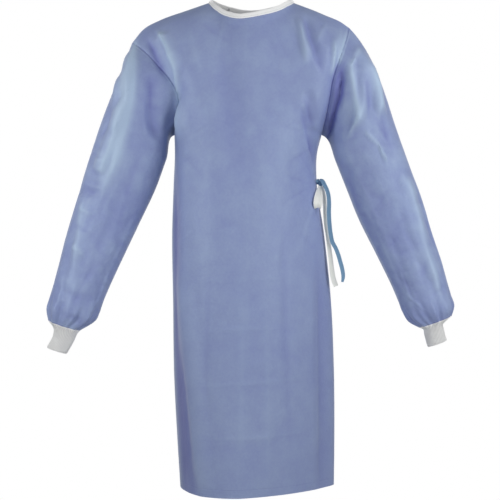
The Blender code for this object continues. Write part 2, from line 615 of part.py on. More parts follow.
def make_backs(grid, normals):
    """The two back panels; the outer one is lifted off the inner one where they lap."""
    breaks = np.cumsum(BACK_STRETCHES)
    outer_edge = SHOULDER_STEPS + OUTER_EDGE
    inner_edge = SHOULDER_STEPS + INNER_EDGE
    last = grid.shape[1] - 1
    inner_part = slice(0, inner_edge + 1)
    shifts = panel_shifts(grid[:, inner_part], normals[:, inner_part], breaks, ((0, 1),))
    skin = grid[:, inner_part] + shifts
    wall("back_panel_left", skin, inner_skin(skin, normals[:, inner_part], CLOTH), "blue_cloth")

    columns = np.arange(outer_edge, last + 1)
    lift = LAP_OFFSET * smooth_step((inner_edge + LAP_BLEND - columns) / LAP_BLEND)
    outer_part = slice(outer_edge, last + 1)
    base = grid[:, outer_part] + normals[:, outer_part] * lift[None, :, None]
    shifts = panel_shifts(base, normals[:, outer_part], [b - outer_edge for b in breaks], ((-1, -2),))
    skin = base + shifts
    wall("back_panel_right", skin, inner_skin(skin, normals[:, outer_part], CLOTH), "blue_cloth")
    return base


def make_sleeve(name, grid, normals, cuff, cuff_normals):
    shifts = np.zeros_like(grid)
    shifts[0] = ring_shift(grid[0], normals[0], grid[1])
    even = shifts[0, 0::2]
    shifts[0, 1::2] = (even + np.roll(even, -1, axis=0)) / 2.0
    shifts[-1] = ring_shift(grid[-1], normals[-1], grid[-2])
    outer = grid + shifts
    wall("sleeve_" + name, outer, inner_skin(outer, normals, CLOTH, True), "blue_cloth", closed=True)

    shifts = np.zeros_like(cuff)
    shifts[0] = ring_shift(cuff[0], cuff_normals[0], cuff[1])
    outer = cuff + shifts
    wall("cuff_" + name, outer, inner_skin(outer, cuff_normals, CUFF_WALL, True), "white_knit", closed=True)


def make_binding(front, front_normals, back, back_normals, outer_back):
    """One strip round the neck, from the inner layer's free edge to the outer layer's free edge."""
    shoulder = SHOULDER_STEPS
    outer_edge = shoulder + OUTER_EDGE
    inner_edge = shoulder + INNER_EDGE
    neck_end = shoulder + BACK_NECK_STEPS
    stretches = (
        (back[:, shoulder:inner_edge + 1], back_normals[:, shoulder:inner_edge + 1], -1),
        (front[:, shoulder:shoulder + FRONT_NECK_STEPS + 1],
         front_normals[:, shoulder:shoulder + FRONT_NECK_STEPS + 1], -1),
        (outer_back[:, :neck_end - outer_edge + 1], back_normals[:, outer_edge:neck_end + 1], -1),
    )
    line, normals, inward = [], [], []
    for grid, grid_normal, order in stretches:
        shift = stand_back(grid[-1], grid_normal[-1], grid[-2])[::order]
        skip = 1 if line else 0
        if line:
            inward[-1] = (inward[-1] + shift[0]) / 2.0
        line.extend(grid[-1][::order][skip:])
        normals.extend(grid_normal[-1][::order][skip:])
        inward.extend(shift[skip:])
    line, normals, inward = np.array(line), np.array(normals), np.array(inward)
    run = unit(np.gradient(line, axis=0))
    rise = unit(-unit(inward) + np.array((0.0, 0.0, BINDING_RISE)))
    rise = unit(rise - run * np.sum(rise * run, axis=1)[:, None])
    facing = unit(np.cross(rise, run))
    facing *= np.sign(np.sum(facing * normals, axis=1))[:, None]
    root = line - inward
    lip = (BINDING_WALL - CLOTH) / 2.0
    top = root - normals * CLOTH / 2.0 + rise * BINDING_HEIGHT
    outer = np.stack([root + normals * lip, top + facing * BINDING_WALL / 2.0])
    inner = np.stack([root - normals * (CLOTH + lip), top - facing * BINDING_WALL / 2.0])
    if np.sum(np.cross(run, rise) * facing) < 0.0:
        outer, inner = outer[:, ::-1], inner[:, ::-1]
    wall("neck_binding", outer, inner, "white_binding")


def make_belt(front, front_normals, back, back_normals):
    """Blue belt tie: sewn on the outer layer's free edge, round the wearer's left side to the knot."""
    outer_edge = SHOULDER_STEPS + OUTER_EDGE
    columns = np.arange(outer_edge + 2, -1, -1)
    points = back[SKIRT_STEPS, columns]
    normals = back_normals[SKIRT_STEPS, columns]
    lifted = LAP_OFFSET + TIE_WALL + SEAM_GAP
    share = smooth_step((columns - 1) / (outer_edge - 2.0))
    line = points + normals * mix(BELT_CLOSE, lifted, share)[:, None]
    ahead = mix(front[SKIRT_STEPS, -1], front[SKIRT_STEPS, -2], BELT_PAST_SEAM)
    ahead_normal = unit(mix(front_normals[SKIRT_STEPS, -1], front_normals[SKIRT_STEPS, -2], BELT_PAST_SEAM))
    line = np.concatenate((line, [ahead + ahead_normal * BELT_END]))
    normals = np.concatenate((normals, [ahead_normal]))
    flat = normals * (1.0, 1.0, 0.0)
    up = np.broadcast_to((0.0, 0.0, 1.0), line.shape)
    strip("tie_blue_belt", line, np.full(len(line), BELT_WIDTH), up, unit(flat) * TIE_WALL, "blue_tie")
    return line[-1]


def make_knot():
    bpy.ops.mesh.primitive_uv_sphere_add(segments=16, ring_count=10, radius=1.0, location=KNOT_CENTRE)
    knot = bpy.context.object
    knot.name = "tie_knot"
    knot.scale = KNOT_RADII
    knot.data.materials.append(bpy.data.materials["blue_tie"])


def main():
    for item in list(bpy.data.objects):
        bpy.data.objects.remove(item, do_unlink=True)
    make_materials()
    grids, normals = make_surfaces()
    make_front(grids["front"], normals["front"])
    outer_back = make_backs(grids["back"], normals["back"])
    for side in ("right", "left"):
        sleeve, cuff = "sleeve_" + side, "cuff_" + side
        make_sleeve(side, grids[sleeve], normals[sleeve], grids[cuff], normals[cuff])
    make_binding(grids["front"], normals["front"], grids["back"], normals["back"], outer_back)
    make_belt(grids["front"], normals["front"], grids["back"], normals["back"])
    make_knot()
    hanging_strip("tie_blue_tail", BLUE_TAIL, "blue_tie")
    hanging_strip("tie_white_loop", WHITE_LOOP, "white_tie")
    hanging_strip("tie_white_tail", WHITE_TAIL, "white_tie")


main()
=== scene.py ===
# %% [markdown]
# # A surgical gown in the shape it has when it is worn
#
# The real gown is light bonded cloth, cut in a few panels and sewn up like a loose shirt that
# closes behind. The solids that come in from the frame have its true outline and its big folds,
# but they are coarse and plain. This lesson rebuilds every panel as a fine sheet on the same
# surface, lays the small creases into it, and gives each kind of cloth its own material.
# Everything is in metres, the front faces -Y and +X is the wearer's left.

# %% Load the frame
import bpy
import numpy as np
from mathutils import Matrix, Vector, noise


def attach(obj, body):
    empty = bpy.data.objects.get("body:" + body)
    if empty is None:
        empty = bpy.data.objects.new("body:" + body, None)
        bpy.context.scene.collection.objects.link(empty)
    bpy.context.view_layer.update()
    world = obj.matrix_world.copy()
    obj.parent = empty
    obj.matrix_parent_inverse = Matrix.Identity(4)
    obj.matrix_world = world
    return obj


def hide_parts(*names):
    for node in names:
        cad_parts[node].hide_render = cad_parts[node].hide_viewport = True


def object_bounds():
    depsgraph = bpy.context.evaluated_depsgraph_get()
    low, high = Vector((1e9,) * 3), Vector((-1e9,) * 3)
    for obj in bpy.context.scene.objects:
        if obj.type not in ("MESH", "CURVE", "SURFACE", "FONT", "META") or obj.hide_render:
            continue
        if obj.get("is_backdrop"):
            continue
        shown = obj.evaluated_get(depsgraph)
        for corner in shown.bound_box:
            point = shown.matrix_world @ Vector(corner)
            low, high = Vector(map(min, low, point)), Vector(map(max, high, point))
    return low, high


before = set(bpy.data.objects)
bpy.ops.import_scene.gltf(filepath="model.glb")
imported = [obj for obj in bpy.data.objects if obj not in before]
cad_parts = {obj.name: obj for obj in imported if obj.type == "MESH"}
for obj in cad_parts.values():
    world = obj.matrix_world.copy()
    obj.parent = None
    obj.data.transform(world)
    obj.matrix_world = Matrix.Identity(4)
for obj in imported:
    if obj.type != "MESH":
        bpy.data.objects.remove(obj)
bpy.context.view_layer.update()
bpy.ops.object.select_all(action="DESELECT")

# %% [markdown]
# ## Curves through a few points
#
# A garment is drawn with a few measured points and smooth lines between them. Blender's own curves
# could do this, but a sheet needs thousands of points at known shares of each line, so a small
# cubic through a table is easier to steer. The tables stay short, and the same rows give a coarse
# or a fine sheet.

# %% Helpers for smooth lines
def unit(vectors):
    """Vectors scaled to length one."""
    vectors = np.asarray(vectors, float)
    return vectors / np.maximum(np.linalg.norm(vectors, axis=-1, keepdims=True), 1e-12)


def mix(a, b, share):
    """Straight blend from a to b."""
    return np.asarray(a, float) * (1.0 - share) + np.asarray(b, float) * share


def smooth_step(share):
    """0 below 0, 1 above 1, and smooth between."""
    share = np.clip(share, 0.0, 1.0)
    return share * share * (3.0 - 2.0 * share)


def hermite(start, end, start_slope, end_slope, t):
    """Cubic from start to end with the given slopes, at the share t."""
    return ((2 * t**3 - 3 * t**2 + 1) * start + (t**3 - 2 * t**2 + t) * start_slope
            + (3 * t**2 - 2 * t**3) * end + (t**3 - t**2) * end_slope)


def spline(knots, values, at):
    """Smooth curve through a table, with slopes from the rows on either side."""
    knots = np.asarray(knots, float)
    values = np.asarray(values, float).reshape(len(knots), -1)
    slopes = np.gradient(values, knots, axis=0)
    at = np.clip(np.atleast_1d(np.asarray(at, float)), knots[0], knots[-1])
    piece = np.clip(np.searchsorted(knots, at, side="right") - 1, 0, len(knots) - 2)
    step = (knots[piece + 1] - knots[piece])[:, None]
    t = (at - knots[piece])[:, None] / step
    return hermite(values[piece], values[piece + 1], step * slopes[piece], step * slopes[piece + 1], t)


def running_length(points):
    """Length of a line from its first point to each of its points."""
    steps = np.linalg.norm(np.diff(points[:, :3], axis=0), axis=1)
    return np.concatenate(([0.0], np.cumsum(steps)))


def along(points, shares):
    """Points at the given shares of a dense line's length."""
    lengths = running_length(points)
    want = np.asarray(shares, float) * lengths[-1]
    return np.stack([np.interp(want, lengths, points[:, axis]) for axis in range(points.shape[1])], axis=1)


DENSE_POINTS = 2400       # points of a line before it is cut into steps


def curve(points, steps):
    """A smooth line through a few points, cut into equal steps."""
    points = np.asarray(points, float)
    knots = running_length(points)
    dense = spline(knots, points, np.linspace(0.0, knots[-1], DENSE_POINTS))
    return along(dense, np.linspace(0.0, 1.0, steps + 1))


print("half way from 0 to 1, level at both ends:", hermite(0.0, 1.0, 0.0, 0.0, 0.5))

# %% [markdown]
# ## The body of the gown
#
# Below the arms the worn cloth is a tube, so it is described by level sections: how wide, how deep
# and how square each one is. The wearer's left side is nearer a diamond, which is what gives the
# flat, slanting side that the photograph shows there. Above the arms the cloth is pulled up to the
# shoulders and the neck, so each column of the sheet leaves the last section and arrives at the
# top edge with a chosen slope. Panels share the points of their seams, and that keeps them joined.

# %% Sections and seam lines
HEM_Z, WAIST_Z, UNDERARM_Z = -1.155, -0.430, -0.315
SECTION_COLUMNS = ("z", "left", "right", "front_x", "front", "square_fl", "square_fr",
                   "back_x", "back", "square_b")
SECTIONS = (
    (-1.155, -0.17, 0.1985, -0.032, 0.16, 2.2, 1.35, 0.01, 0.15, 2.0),
    (-1.03, -0.178, 0.1997, -0.031, 0.158, 2.2, 1.4, 0.008, 0.149, 2.0),
    (-0.88, -0.1855, 0.1985, -0.03, 0.155, 2.2, 1.45, 0.004, 0.146, 2.0),
    (-0.71, -0.188, 0.191, -0.029, 0.15, 2.2, 1.5, 0.000, 0.14, 2.0),
    (-0.545, -0.19, 0.1735, -0.028, 0.142, 2.2, 1.6, -0.006, 0.13, 2.1),
    (-0.43, -0.186, 0.157, -0.028, 0.136, 2.2, 1.7, -0.012, 0.121, 2.1),
    (-0.36, -0.183, 0.158, -0.027, 0.132, 2.2, 1.8, -0.01, 0.118, 2.1),
    (-0.315, -0.184, 0.169, -0.026, 0.128, 2.2, 1.9, -0.008, 0.115, 2.1),
)
SEAM_TURN = 7.0           # degrees that the side seams lie behind the widest points
FRONT_SHARES = (0.0, 0.32, 0.68, 1.0)
BACK_SHARES_TOP = (0.0, 0.29, 0.37, 0.63, 0.71, 1.0)
BACK_SHARES_HEM = (0.0, 0.20, 0.28, 0.72, 0.80, 1.0)
SIDE_REACH = 0.40
RIGHT_ARMHOLE = ((-0.174, -0.028, -0.278), (-0.170, -0.055, -0.235), (-0.186, -0.070, -0.200),
                 (-0.215, -0.065, -0.165), (-0.243, -0.050, -0.133), (-0.268, -0.028, -0.110),
                 (-0.286, 0.0, -0.096))
LEFT_ARMHOLE = ((0.176, -0.032, -0.283), (0.183, -0.060, -0.240), (0.189, -0.072, -0.200),
                (0.202, -0.068, -0.157), (0.215, -0.050, -0.122), (0.227, -0.025, -0.088),
                (0.235, 0.0, -0.060))
RIGHT_SHOULDER = ((-0.286, 0.0, -0.096), (-0.257, 0.0, -0.062), (-0.218, 0.0, -0.041),
                  (-0.157, 0.0, -0.019), (-0.102, 0.0, 0.0))
LEFT_SHOULDER = ((0.235, 0.0, -0.060), (0.213, 0.0, -0.045), (0.176, 0.0, -0.029),
                 (0.155, 0.0, -0.020), (0.102, 0.0, 0.0))
FRONT_NECK = ((-0.102, 0.0, 0.0), (-0.084, -0.038, -0.024), (-0.064, -0.062, -0.041),
              (-0.031, -0.088, -0.054), (0.022, -0.085, -0.046), (0.067, -0.060, -0.029),
              (0.086, -0.038, -0.015), (0.102, 0.0, 0.0))
BACK_NECK = ((0.102, 0.0, 0.0), (0.072, 0.046, -0.006), (0.0, 0.074, -0.014),
             (-0.072, 0.046, -0.006), (-0.102, 0.0, 0.0))
BACK_ARMHOLE_DEPTH = 0.85
print("level sections:", len(SECTIONS))

# %% Steps of the fine sheets
SHOULDER_STEPS = 36
FRONT_NECK_STEPS = 48
BACK_NECK_STEPS = 56
OUTER_EDGE = 16           # neck step where the outer back layer ends
INNER_EDGE = 40           # neck step where the inner back layer ends
LAP_BLEND = BACK_NECK_STEPS - INNER_EDGE
LAP_OFFSET = 0.005
SKIRT_STEPS = 140
WAIST_STEPS = 24
YOKE_STEPS = 64
YOKE_ROUNDS = 60          # times that each column is drawn to the middle of its neighbours
UNDERARM_ROW = SKIRT_STEPS + WAIST_STEPS
CLOTH = 0.0008            # thickness of the wall that shows at edges
print("front panel:", UNDERARM_ROW + YOKE_STEPS, "by", 2 * SHOULDER_STEPS + FRONT_NECK_STEPS, "steps")


# %% The body's surface
GIRTH_POINTS = 721        # points of half a section before it is cut into columns
SLOPE_DROP = 0.01         # how far below the last section the slope of the cloth is read


def section_line(z, back):
    """Dense line round the front half or the back half of the body at one height."""
    knots = [row[0] for row in SECTIONS]
    row = dict(zip(SECTION_COLUMNS[1:], spline(knots, [r[1:] for r in SECTIONS], z)[0]))
    turn = np.radians(np.linspace(-90.0 - SEAM_TURN, 90.0 + SEAM_TURN, GIRTH_POINTS))
    if back:
        turn = np.radians(np.linspace(90.0 + SEAM_TURN, 270.0 - SEAM_TURN, GIRTH_POINTS))
    ahead = np.cos(turn) >= 0.0
    side = np.sin(turn)
    middle = np.where(ahead, row["front_x"], row["back_x"])
    reach = np.where(side > 0.0, row["right"] - middle, middle - row["left"])
    front_square = np.where(side > 0.0, row["square_fr"], row["square_fl"])
    square = np.where(ahead, front_square, row["square_b"])
    depth = np.where(ahead, -row["front"], row["back"])
    x = middle + reach * np.sign(side) * np.abs(side) ** (2.0 / square)
    y = depth * np.abs(np.cos(turn)) ** (2.0 / square)
    return np.stack([x, y, np.full_like(x, z)], axis=1)


def column_shares(z, back):
    """Shares of the girth for every column of a body panel."""
    breaks = FRONT_SHARES
    steps = (SHOULDER_STEPS, FRONT_NECK_STEPS, SHOULDER_STEPS)
    if back:
        breaks = mix(BACK_SHARES_TOP, BACK_SHARES_HEM, (UNDERARM_Z - z) / (UNDERARM_Z - HEM_Z))
        steps = (SHOULDER_STEPS, OUTER_EDGE, INNER_EDGE - OUTER_EDGE,
                 BACK_NECK_STEPS - INNER_EDGE, SHOULDER_STEPS)
    parts = [np.linspace(a, b, n, endpoint=False) for a, b, n in zip(breaks[:-1], breaks[1:], steps)]
    return np.concatenate(parts + [[breaks[-1]]])


def armhole(side, back):
    """One half of an armhole, from the underarm point up to the shoulder point."""
    points = np.array(RIGHT_ARMHOLE if side < 0 else LEFT_ARMHOLE, float)
    if back:
        points[:, 1] *= -BACK_ARMHOLE_DEPTH
    underarm = section_line(UNDERARM_Z, False)[0 if side < 0 else -1]
    return curve(np.concatenate(([underarm], points)), YOKE_STEPS)


def top_edge(back):
    """Shoulder, neck and shoulder, and the direction in which the cloth arrives there."""
    face = -1.0 if back else 1.0
    lines = (RIGHT_SHOULDER, FRONT_NECK, LEFT_SHOULDER[::-1])
    if back:
        lines = (LEFT_SHOULDER, BACK_NECK, RIGHT_SHOULDER[::-1])
    neck_steps = BACK_NECK_STEPS if back else FRONT_NECK_STEPS
    stretches = (SHOULDER_STEPS, neck_steps, SHOULDER_STEPS)
    first, neck, last = [curve(line, steps) for line, steps in zip(lines, stretches)]
    share = np.linspace(0.0, 1.0, SHOULDER_STEPS + 1)[:, None]
    first_slopes = mix((-face * 0.70, face * 0.60, 0.35), (0.0, face, 0.30), share)
    last_slopes = (first_slopes * (-1.0, 1.0, 1.0))[::-1]
    neck_share = np.sin(np.pi * np.linspace(0.0, 1.0, len(neck)))[:, None] ** 0.7
    neck_slopes = mix((0.0, face, 0.30), (0.0, 0.35 * face, 0.94), neck_share)
    points = np.concatenate((first[:-1], neck, last[1:]))
    slopes = np.concatenate((first_slopes[:-1], neck_slopes, last_slopes[1:]))
    return points, unit(slopes)


def body_grid(back):
    """Points of the whole front or back, row by row from the hem to the seams on top."""
    levels = np.concatenate((np.linspace(HEM_Z, WAIST_Z, SKIRT_STEPS, endpoint=False),
                             np.linspace(WAIST_Z, UNDERARM_Z, WAIST_STEPS + 1)))
    rows = [along(section_line(z, back), column_shares(z, back)) for z in levels]
    start = rows[-1]
    below = along(section_line(UNDERARM_Z - SLOPE_DROP, back), column_shares(UNDERARM_Z, back))
    top, arrive = top_edge(back)
    reach = np.linalg.norm(top - start, axis=1)[:, None]
    leave = (start - below) / SLOPE_DROP * reach
    share = np.linspace(0.0, 1.0, YOKE_STEPS + 1)[:, None, None]
    yoke = hermite(start[None], top[None], leave[None], (arrive * reach)[None], share)
    first_side = 1 if back else -1
    place = column_shares(UNDERARM_Z, back)
    first_pull = (armhole(first_side, back) - yoke[:, 0])[:, None]
    last_pull = (armhole(-first_side, back) - yoke[:, -1])[:, None]
    yoke = (yoke + first_pull * (1.0 - smooth_step(place / SIDE_REACH))[None, :, None]
            + last_pull * (1.0 - smooth_step((1.0 - place) / SIDE_REACH))[None, :, None])
    calm = smooth_step((1.0 - share) / 0.12) * smooth_step(share / 0.2)
    # Stretches of the top edge meet with different slopes, and this calms the sharp line there.
    for _ in range(YOKE_ROUNDS):
        between = 0.5 * (yoke[:, :-2] + yoke[:, 2:])
        yoke[:, 1:-1] += 0.5 * calm * (between - yoke[:, 1:-1])
    return np.concatenate((rows, yoke[1:]))


grids = {"front": body_grid(False), "back": body_grid(True)}
print("front rows and columns:", grids["front"].shape[:2])

# %% [markdown]
# ## Sleeves and cuffs
#
# A worn sleeve is a tube that starts on the slanting armhole and ends in a narrow knit cuff. Each
# section is an ellipse given by its outer point, its inner point and its depth. The first rows
# leave the armhole with a swell, which is the sleeve's cap. Near the cuff the cloth is gathered,
# so the last sections are rippled, unevenly, because a row of equal pleats looks like a machine
# part. The sheet is left open along the underarm, where the real sleeve has its long seam.

# %% Sleeve sections
SLEEVE_COLUMNS = ("outer_x", "outer_z", "inner_x", "inner_z", "y", "half_depth")
RIGHT_SLEEVE = (
    (-0.37, -0.32, -0.204, -0.377, -0.004, 0.07),
    (-0.393, -0.393, -0.23, -0.449, -0.008, 0.068),
    (-0.414, -0.469, -0.263, -0.521, -0.015, 0.064),
    (-0.435, -0.544, -0.296, -0.593, -0.024, 0.06),
    (-0.453, -0.62, -0.328, -0.664, -0.036, 0.054),
    (-0.465, -0.669, -0.348, -0.711, -0.044, 0.05),
    (-0.472, -0.701, -0.359, -0.741, -0.05, 0.047),
    (-0.477, -0.729, -0.371, -0.76, -0.055, 0.042),
    (-0.474, -0.759, -0.404, -0.781, -0.058, 0.03),
)
RIGHT_CUFF = (
    (-0.464, -0.775, -0.41, -0.79, -0.059, 0.024),
    (-0.464, -0.79, -0.416, -0.803, -0.06, 0.02),
    (-0.479, -0.821, -0.433, -0.836, -0.062, 0.019),
)
LEFT_SLEEVE = (
    (0.354, -0.323, 0.201, -0.377, -0.004, 0.07),
    (0.38, -0.397, 0.229, -0.449, -0.008, 0.068),
    (0.406, -0.469, 0.257, -0.521, -0.015, 0.064),
    (0.427, -0.545, 0.292, -0.593, -0.024, 0.06),
    (0.45, -0.62, 0.326, -0.664, -0.036, 0.054),
    (0.462, -0.67, 0.346, -0.711, -0.044, 0.05),
    (0.468, -0.698, 0.356, -0.737, -0.05, 0.047),
    (0.473, -0.722, 0.37, -0.759, -0.055, 0.042),
    (0.468, -0.748, 0.395, -0.774, -0.058, 0.03),
)
LEFT_CUFF = (
    (0.451, -0.765, 0.405, -0.779, -0.059, 0.024),
    (0.452, -0.778, 0.408, -0.791, -0.06, 0.02),
    (0.458, -0.804, 0.414, -0.82, -0.062, 0.019),
)
SLEEVE_LINES = 2 * YOKE_STEPS
CAP_STEPS = 26
SECTION_STEPS = 14        # rows between two sections
GATHER_DEPTH = (          # section, depth
    (0.0, 0.0), (5.0, 0.0), (5.9, 0.0012), (6.6, 0.0022), (7.2, 0.0032), (7.7, 0.0028), (8.0, 0.002),
)
GATHER_WAVES = ((8, 0.0, 1.0), (13, 2.1, 0.55), (21, 4.0, 0.35))   # pleats round, turn, share


def gathers(angle, depth):
    """How far the gathered cloth stands in or out round one section."""
    return depth * sum(share * np.cos(count * angle + turn) for count, turn, share in GATHER_WAVES)


def section_ring(row, side, angle, ripple):
    """One section of a sleeve or cuff, from its inner point round to it again."""
    place = dict(zip(SLEEVE_COLUMNS, row))
    outer = np.array((place["outer_x"], place["y"], place["outer_z"]))
    inner = np.array((place["inner_x"], place["y"], place["inner_z"]))
    middle = (outer + inner) / 2.0
    across = inner - middle
    width = np.linalg.norm(across)
    ripple = np.broadcast_to(ripple, angle.shape)[:, None]
    turn = angle[:, None]
    return (middle + across * np.cos(turn) * (1.0 + ripple / width)
            + np.array((0.0, side, 0.0)) * np.sin(turn) * (place["half_depth"] + ripple))


def sleeve_grid(side):
    """Points of a sleeve from the armhole to the cuff. The first column is repeated at the end."""
    table = np.array(RIGHT_SLEEVE if side < 0 else LEFT_SLEEVE)
    up_front, up_back = armhole(side, False), armhole(side, True)
    first, second = (up_front, up_back) if side < 0 else (up_back, up_front)
    seam = np.concatenate((first[:-1], second[::-1]))
    angle = np.linspace(0.0, 2.0 * np.pi, SLEEVE_LINES + 1)
    at = np.linspace(0.0, len(table) - 1.0, (len(table) - 1) * SECTION_STEPS + 1)
    sections = spline(np.arange(len(table)), table, at)
    depths = spline([g[0] for g in GATHER_DEPTH], [g[1] for g in GATHER_DEPTH], at)[:, 0]
    rings = [section_ring(row, side, angle, gathers(angle, depth)) for row, depth in zip(sections, depths)]

    share = np.linspace(0.0, 2.0, SLEEVE_LINES + 1)
    height = np.where(share <= 1.0, share, 2.0 - share)[:, None]
    swell = np.sin(np.pi * height)
    forward = np.where(share <= 1.0, 1.0, -1.0)[:, None] * side
    top_slope = (-0.35, 0.0, -0.94) if side < 0 else (0.70, 0.0, -0.71)
    leave = mix((side * 0.96, 0.0, -0.25), top_slope, height)
    leave = unit(leave + swell * (forward * (0.0, 0.55, 0.0) + np.array((side * 0.45, 0.0, 0.0))))
    coarse = section_ring(spline(np.arange(len(table)), table, [0.5])[0], side, angle, 0.0)
    arrive = unit(coarse - rings[0])
    reach = np.linalg.norm(rings[0] - seam, axis=1)[:, None]
    shares = np.arange(CAP_STEPS) / CAP_STEPS
    cap = [hermite(seam, rings[0], leave * reach, arrive * reach, s) for s in shares]
    grid = np.array(cap + rings)
    grid[:, -1] = grid[:, 0]
    return grid


grids["sleeve_right"] = sleeve_grid(-1)
grids["sleeve_left"] = sleeve_grid(1)
print("sleeve rows and columns:", grids["sleeve_left"].shape[:2])

# %% [markdown]
# ## Folds and creases
#
# Worn cloth breaks into folds that start where it is held and die out where it hangs free. They
# could come from a cloth simulation, but a simulation has its own ideas and does not follow one
# photograph. So each fold is listed one by one: a line in the front view, a bow, a height and a
# width. The big ones lie where the solids have them, and some are shallower here, where the real
# cloth is smooth. The fine ones are narrower, with a crisp line, and skewed, so that one flank is
# steep and one soft, as a crease in stiff cloth is.

# %% Big folds
FOLD_COLUMNS = ("x0", "z0", "x1", "z1", "bow", "height", "half_width")
FRONT_FOLDS = (
    (-0.215, -0.085, -0.183, -0.15, 0.006, 0.0098, 0.026),
    (-0.18, -0.13, -0.16, -0.33, -0.006, 0.012, 0.024),
    (0.126, -0.04, 0.172, -0.17, -0.004, -0.0055, 0.022),
    (0.112, -0.045, 0.136, -0.15, 0.0, 0.007, 0.018),
    (0.129, -0.225, 0.15, -0.3, 0.0, -0.0045, 0.018),
    (0.122, -0.265, 0.147, -0.365, 0.004, -0.0055, 0.018),
    (0.206, -0.15, 0.176, -0.31, 0.006, -0.0168, 0.024),
    (0.2, -0.09, 0.192, -0.18, 0.0, 0.0084, 0.014),
    (-0.17, -0.64, -0.116, -1.155, 0.01, 0.005, 0.034),
    (0.165, -0.62, 0.172, -1.155, 0.0, -0.0084, 0.026),
    (-0.06, -0.15, -0.03, -0.42, 0.0, -0.0056, 0.05),
    (-0.287, -0.108, -0.281, -0.245, -0.006, 0.0112, 0.022),
    (-0.278, -0.235, -0.358, -0.42, -0.008, 0.0112, 0.024),
    (-0.313, -0.175, -0.319, -0.32, 0.0, 0.007, 0.018),
    (-0.225, -0.18, -0.222, -0.33, -0.01, -0.012, 0.024),
    (-0.412, -0.452, -0.35, -0.462, 0.0, -0.004, 0.016),
    (-0.29, -0.42, -0.352, -0.6, 0.0, -0.0035, 0.024),
    (-0.395, -0.54, -0.42, -0.7, 0.0, 0.002, 0.022),
    (0.256, -0.11, 0.242, -0.31, 0.016, 0.0108, 0.022),
    (0.278, -0.145, 0.306, -0.275, 0.0, 0.0084, 0.018),
    (0.27, -0.31, 0.33, -0.385, 0.006, -0.003, 0.018),
    (0.352, -0.4, 0.452, -0.69, -0.01, 0.005, 0.026),
    (0.262, -0.39, 0.372, -0.69, 0.006, -0.003, 0.026),
)
BACK_FOLDS = (
    (-0.15, -0.06, -0.172, -0.3, 0.01, -0.012, 0.026),
    (0.14, -0.06, 0.168, -0.3, -0.01, -0.012, 0.026),
    (-0.1, -0.3, -0.09, -0.62, 0.008, -0.0084, 0.03),
    (0.06, -0.35, 0.02, -0.76, 0.01, 0.0084, 0.034),
    (-0.12, -0.64, -0.1, -1.155, 0.0, 0.0098, 0.036),
    (-0.01, -0.56, -0.03, -1.155, 0.008, -0.0098, 0.036),
    (0.11, -0.6, 0.12, -1.155, 0.0, 0.0084, 0.03),
    (-0.27, -0.13, -0.33, -0.42, 0.01, 0.0112, 0.024),
    (-0.23, -0.26, -0.3, -0.47, 0.0, -0.0108, 0.022),
    (-0.4, -0.48, -0.34, -0.52, 0.0, -0.0112, 0.018),
    (0.25, -0.12, 0.31, -0.4, -0.01, 0.0112, 0.024),
    (0.225, -0.25, 0.29, -0.47, 0.0, -0.0108, 0.022),
    (0.395, -0.49, 0.33, -0.53, 0.0, -0.0112, 0.018),
    (-0.35, -0.56, -0.42, -0.7, 0.0, 0.0084, 0.022),
    (0.345, -0.56, 0.415, -0.69, 0.0, 0.0084, 0.022),
)
print("big folds:", len(FRONT_FOLDS), "in front,", len(BACK_FOLDS), "behind")

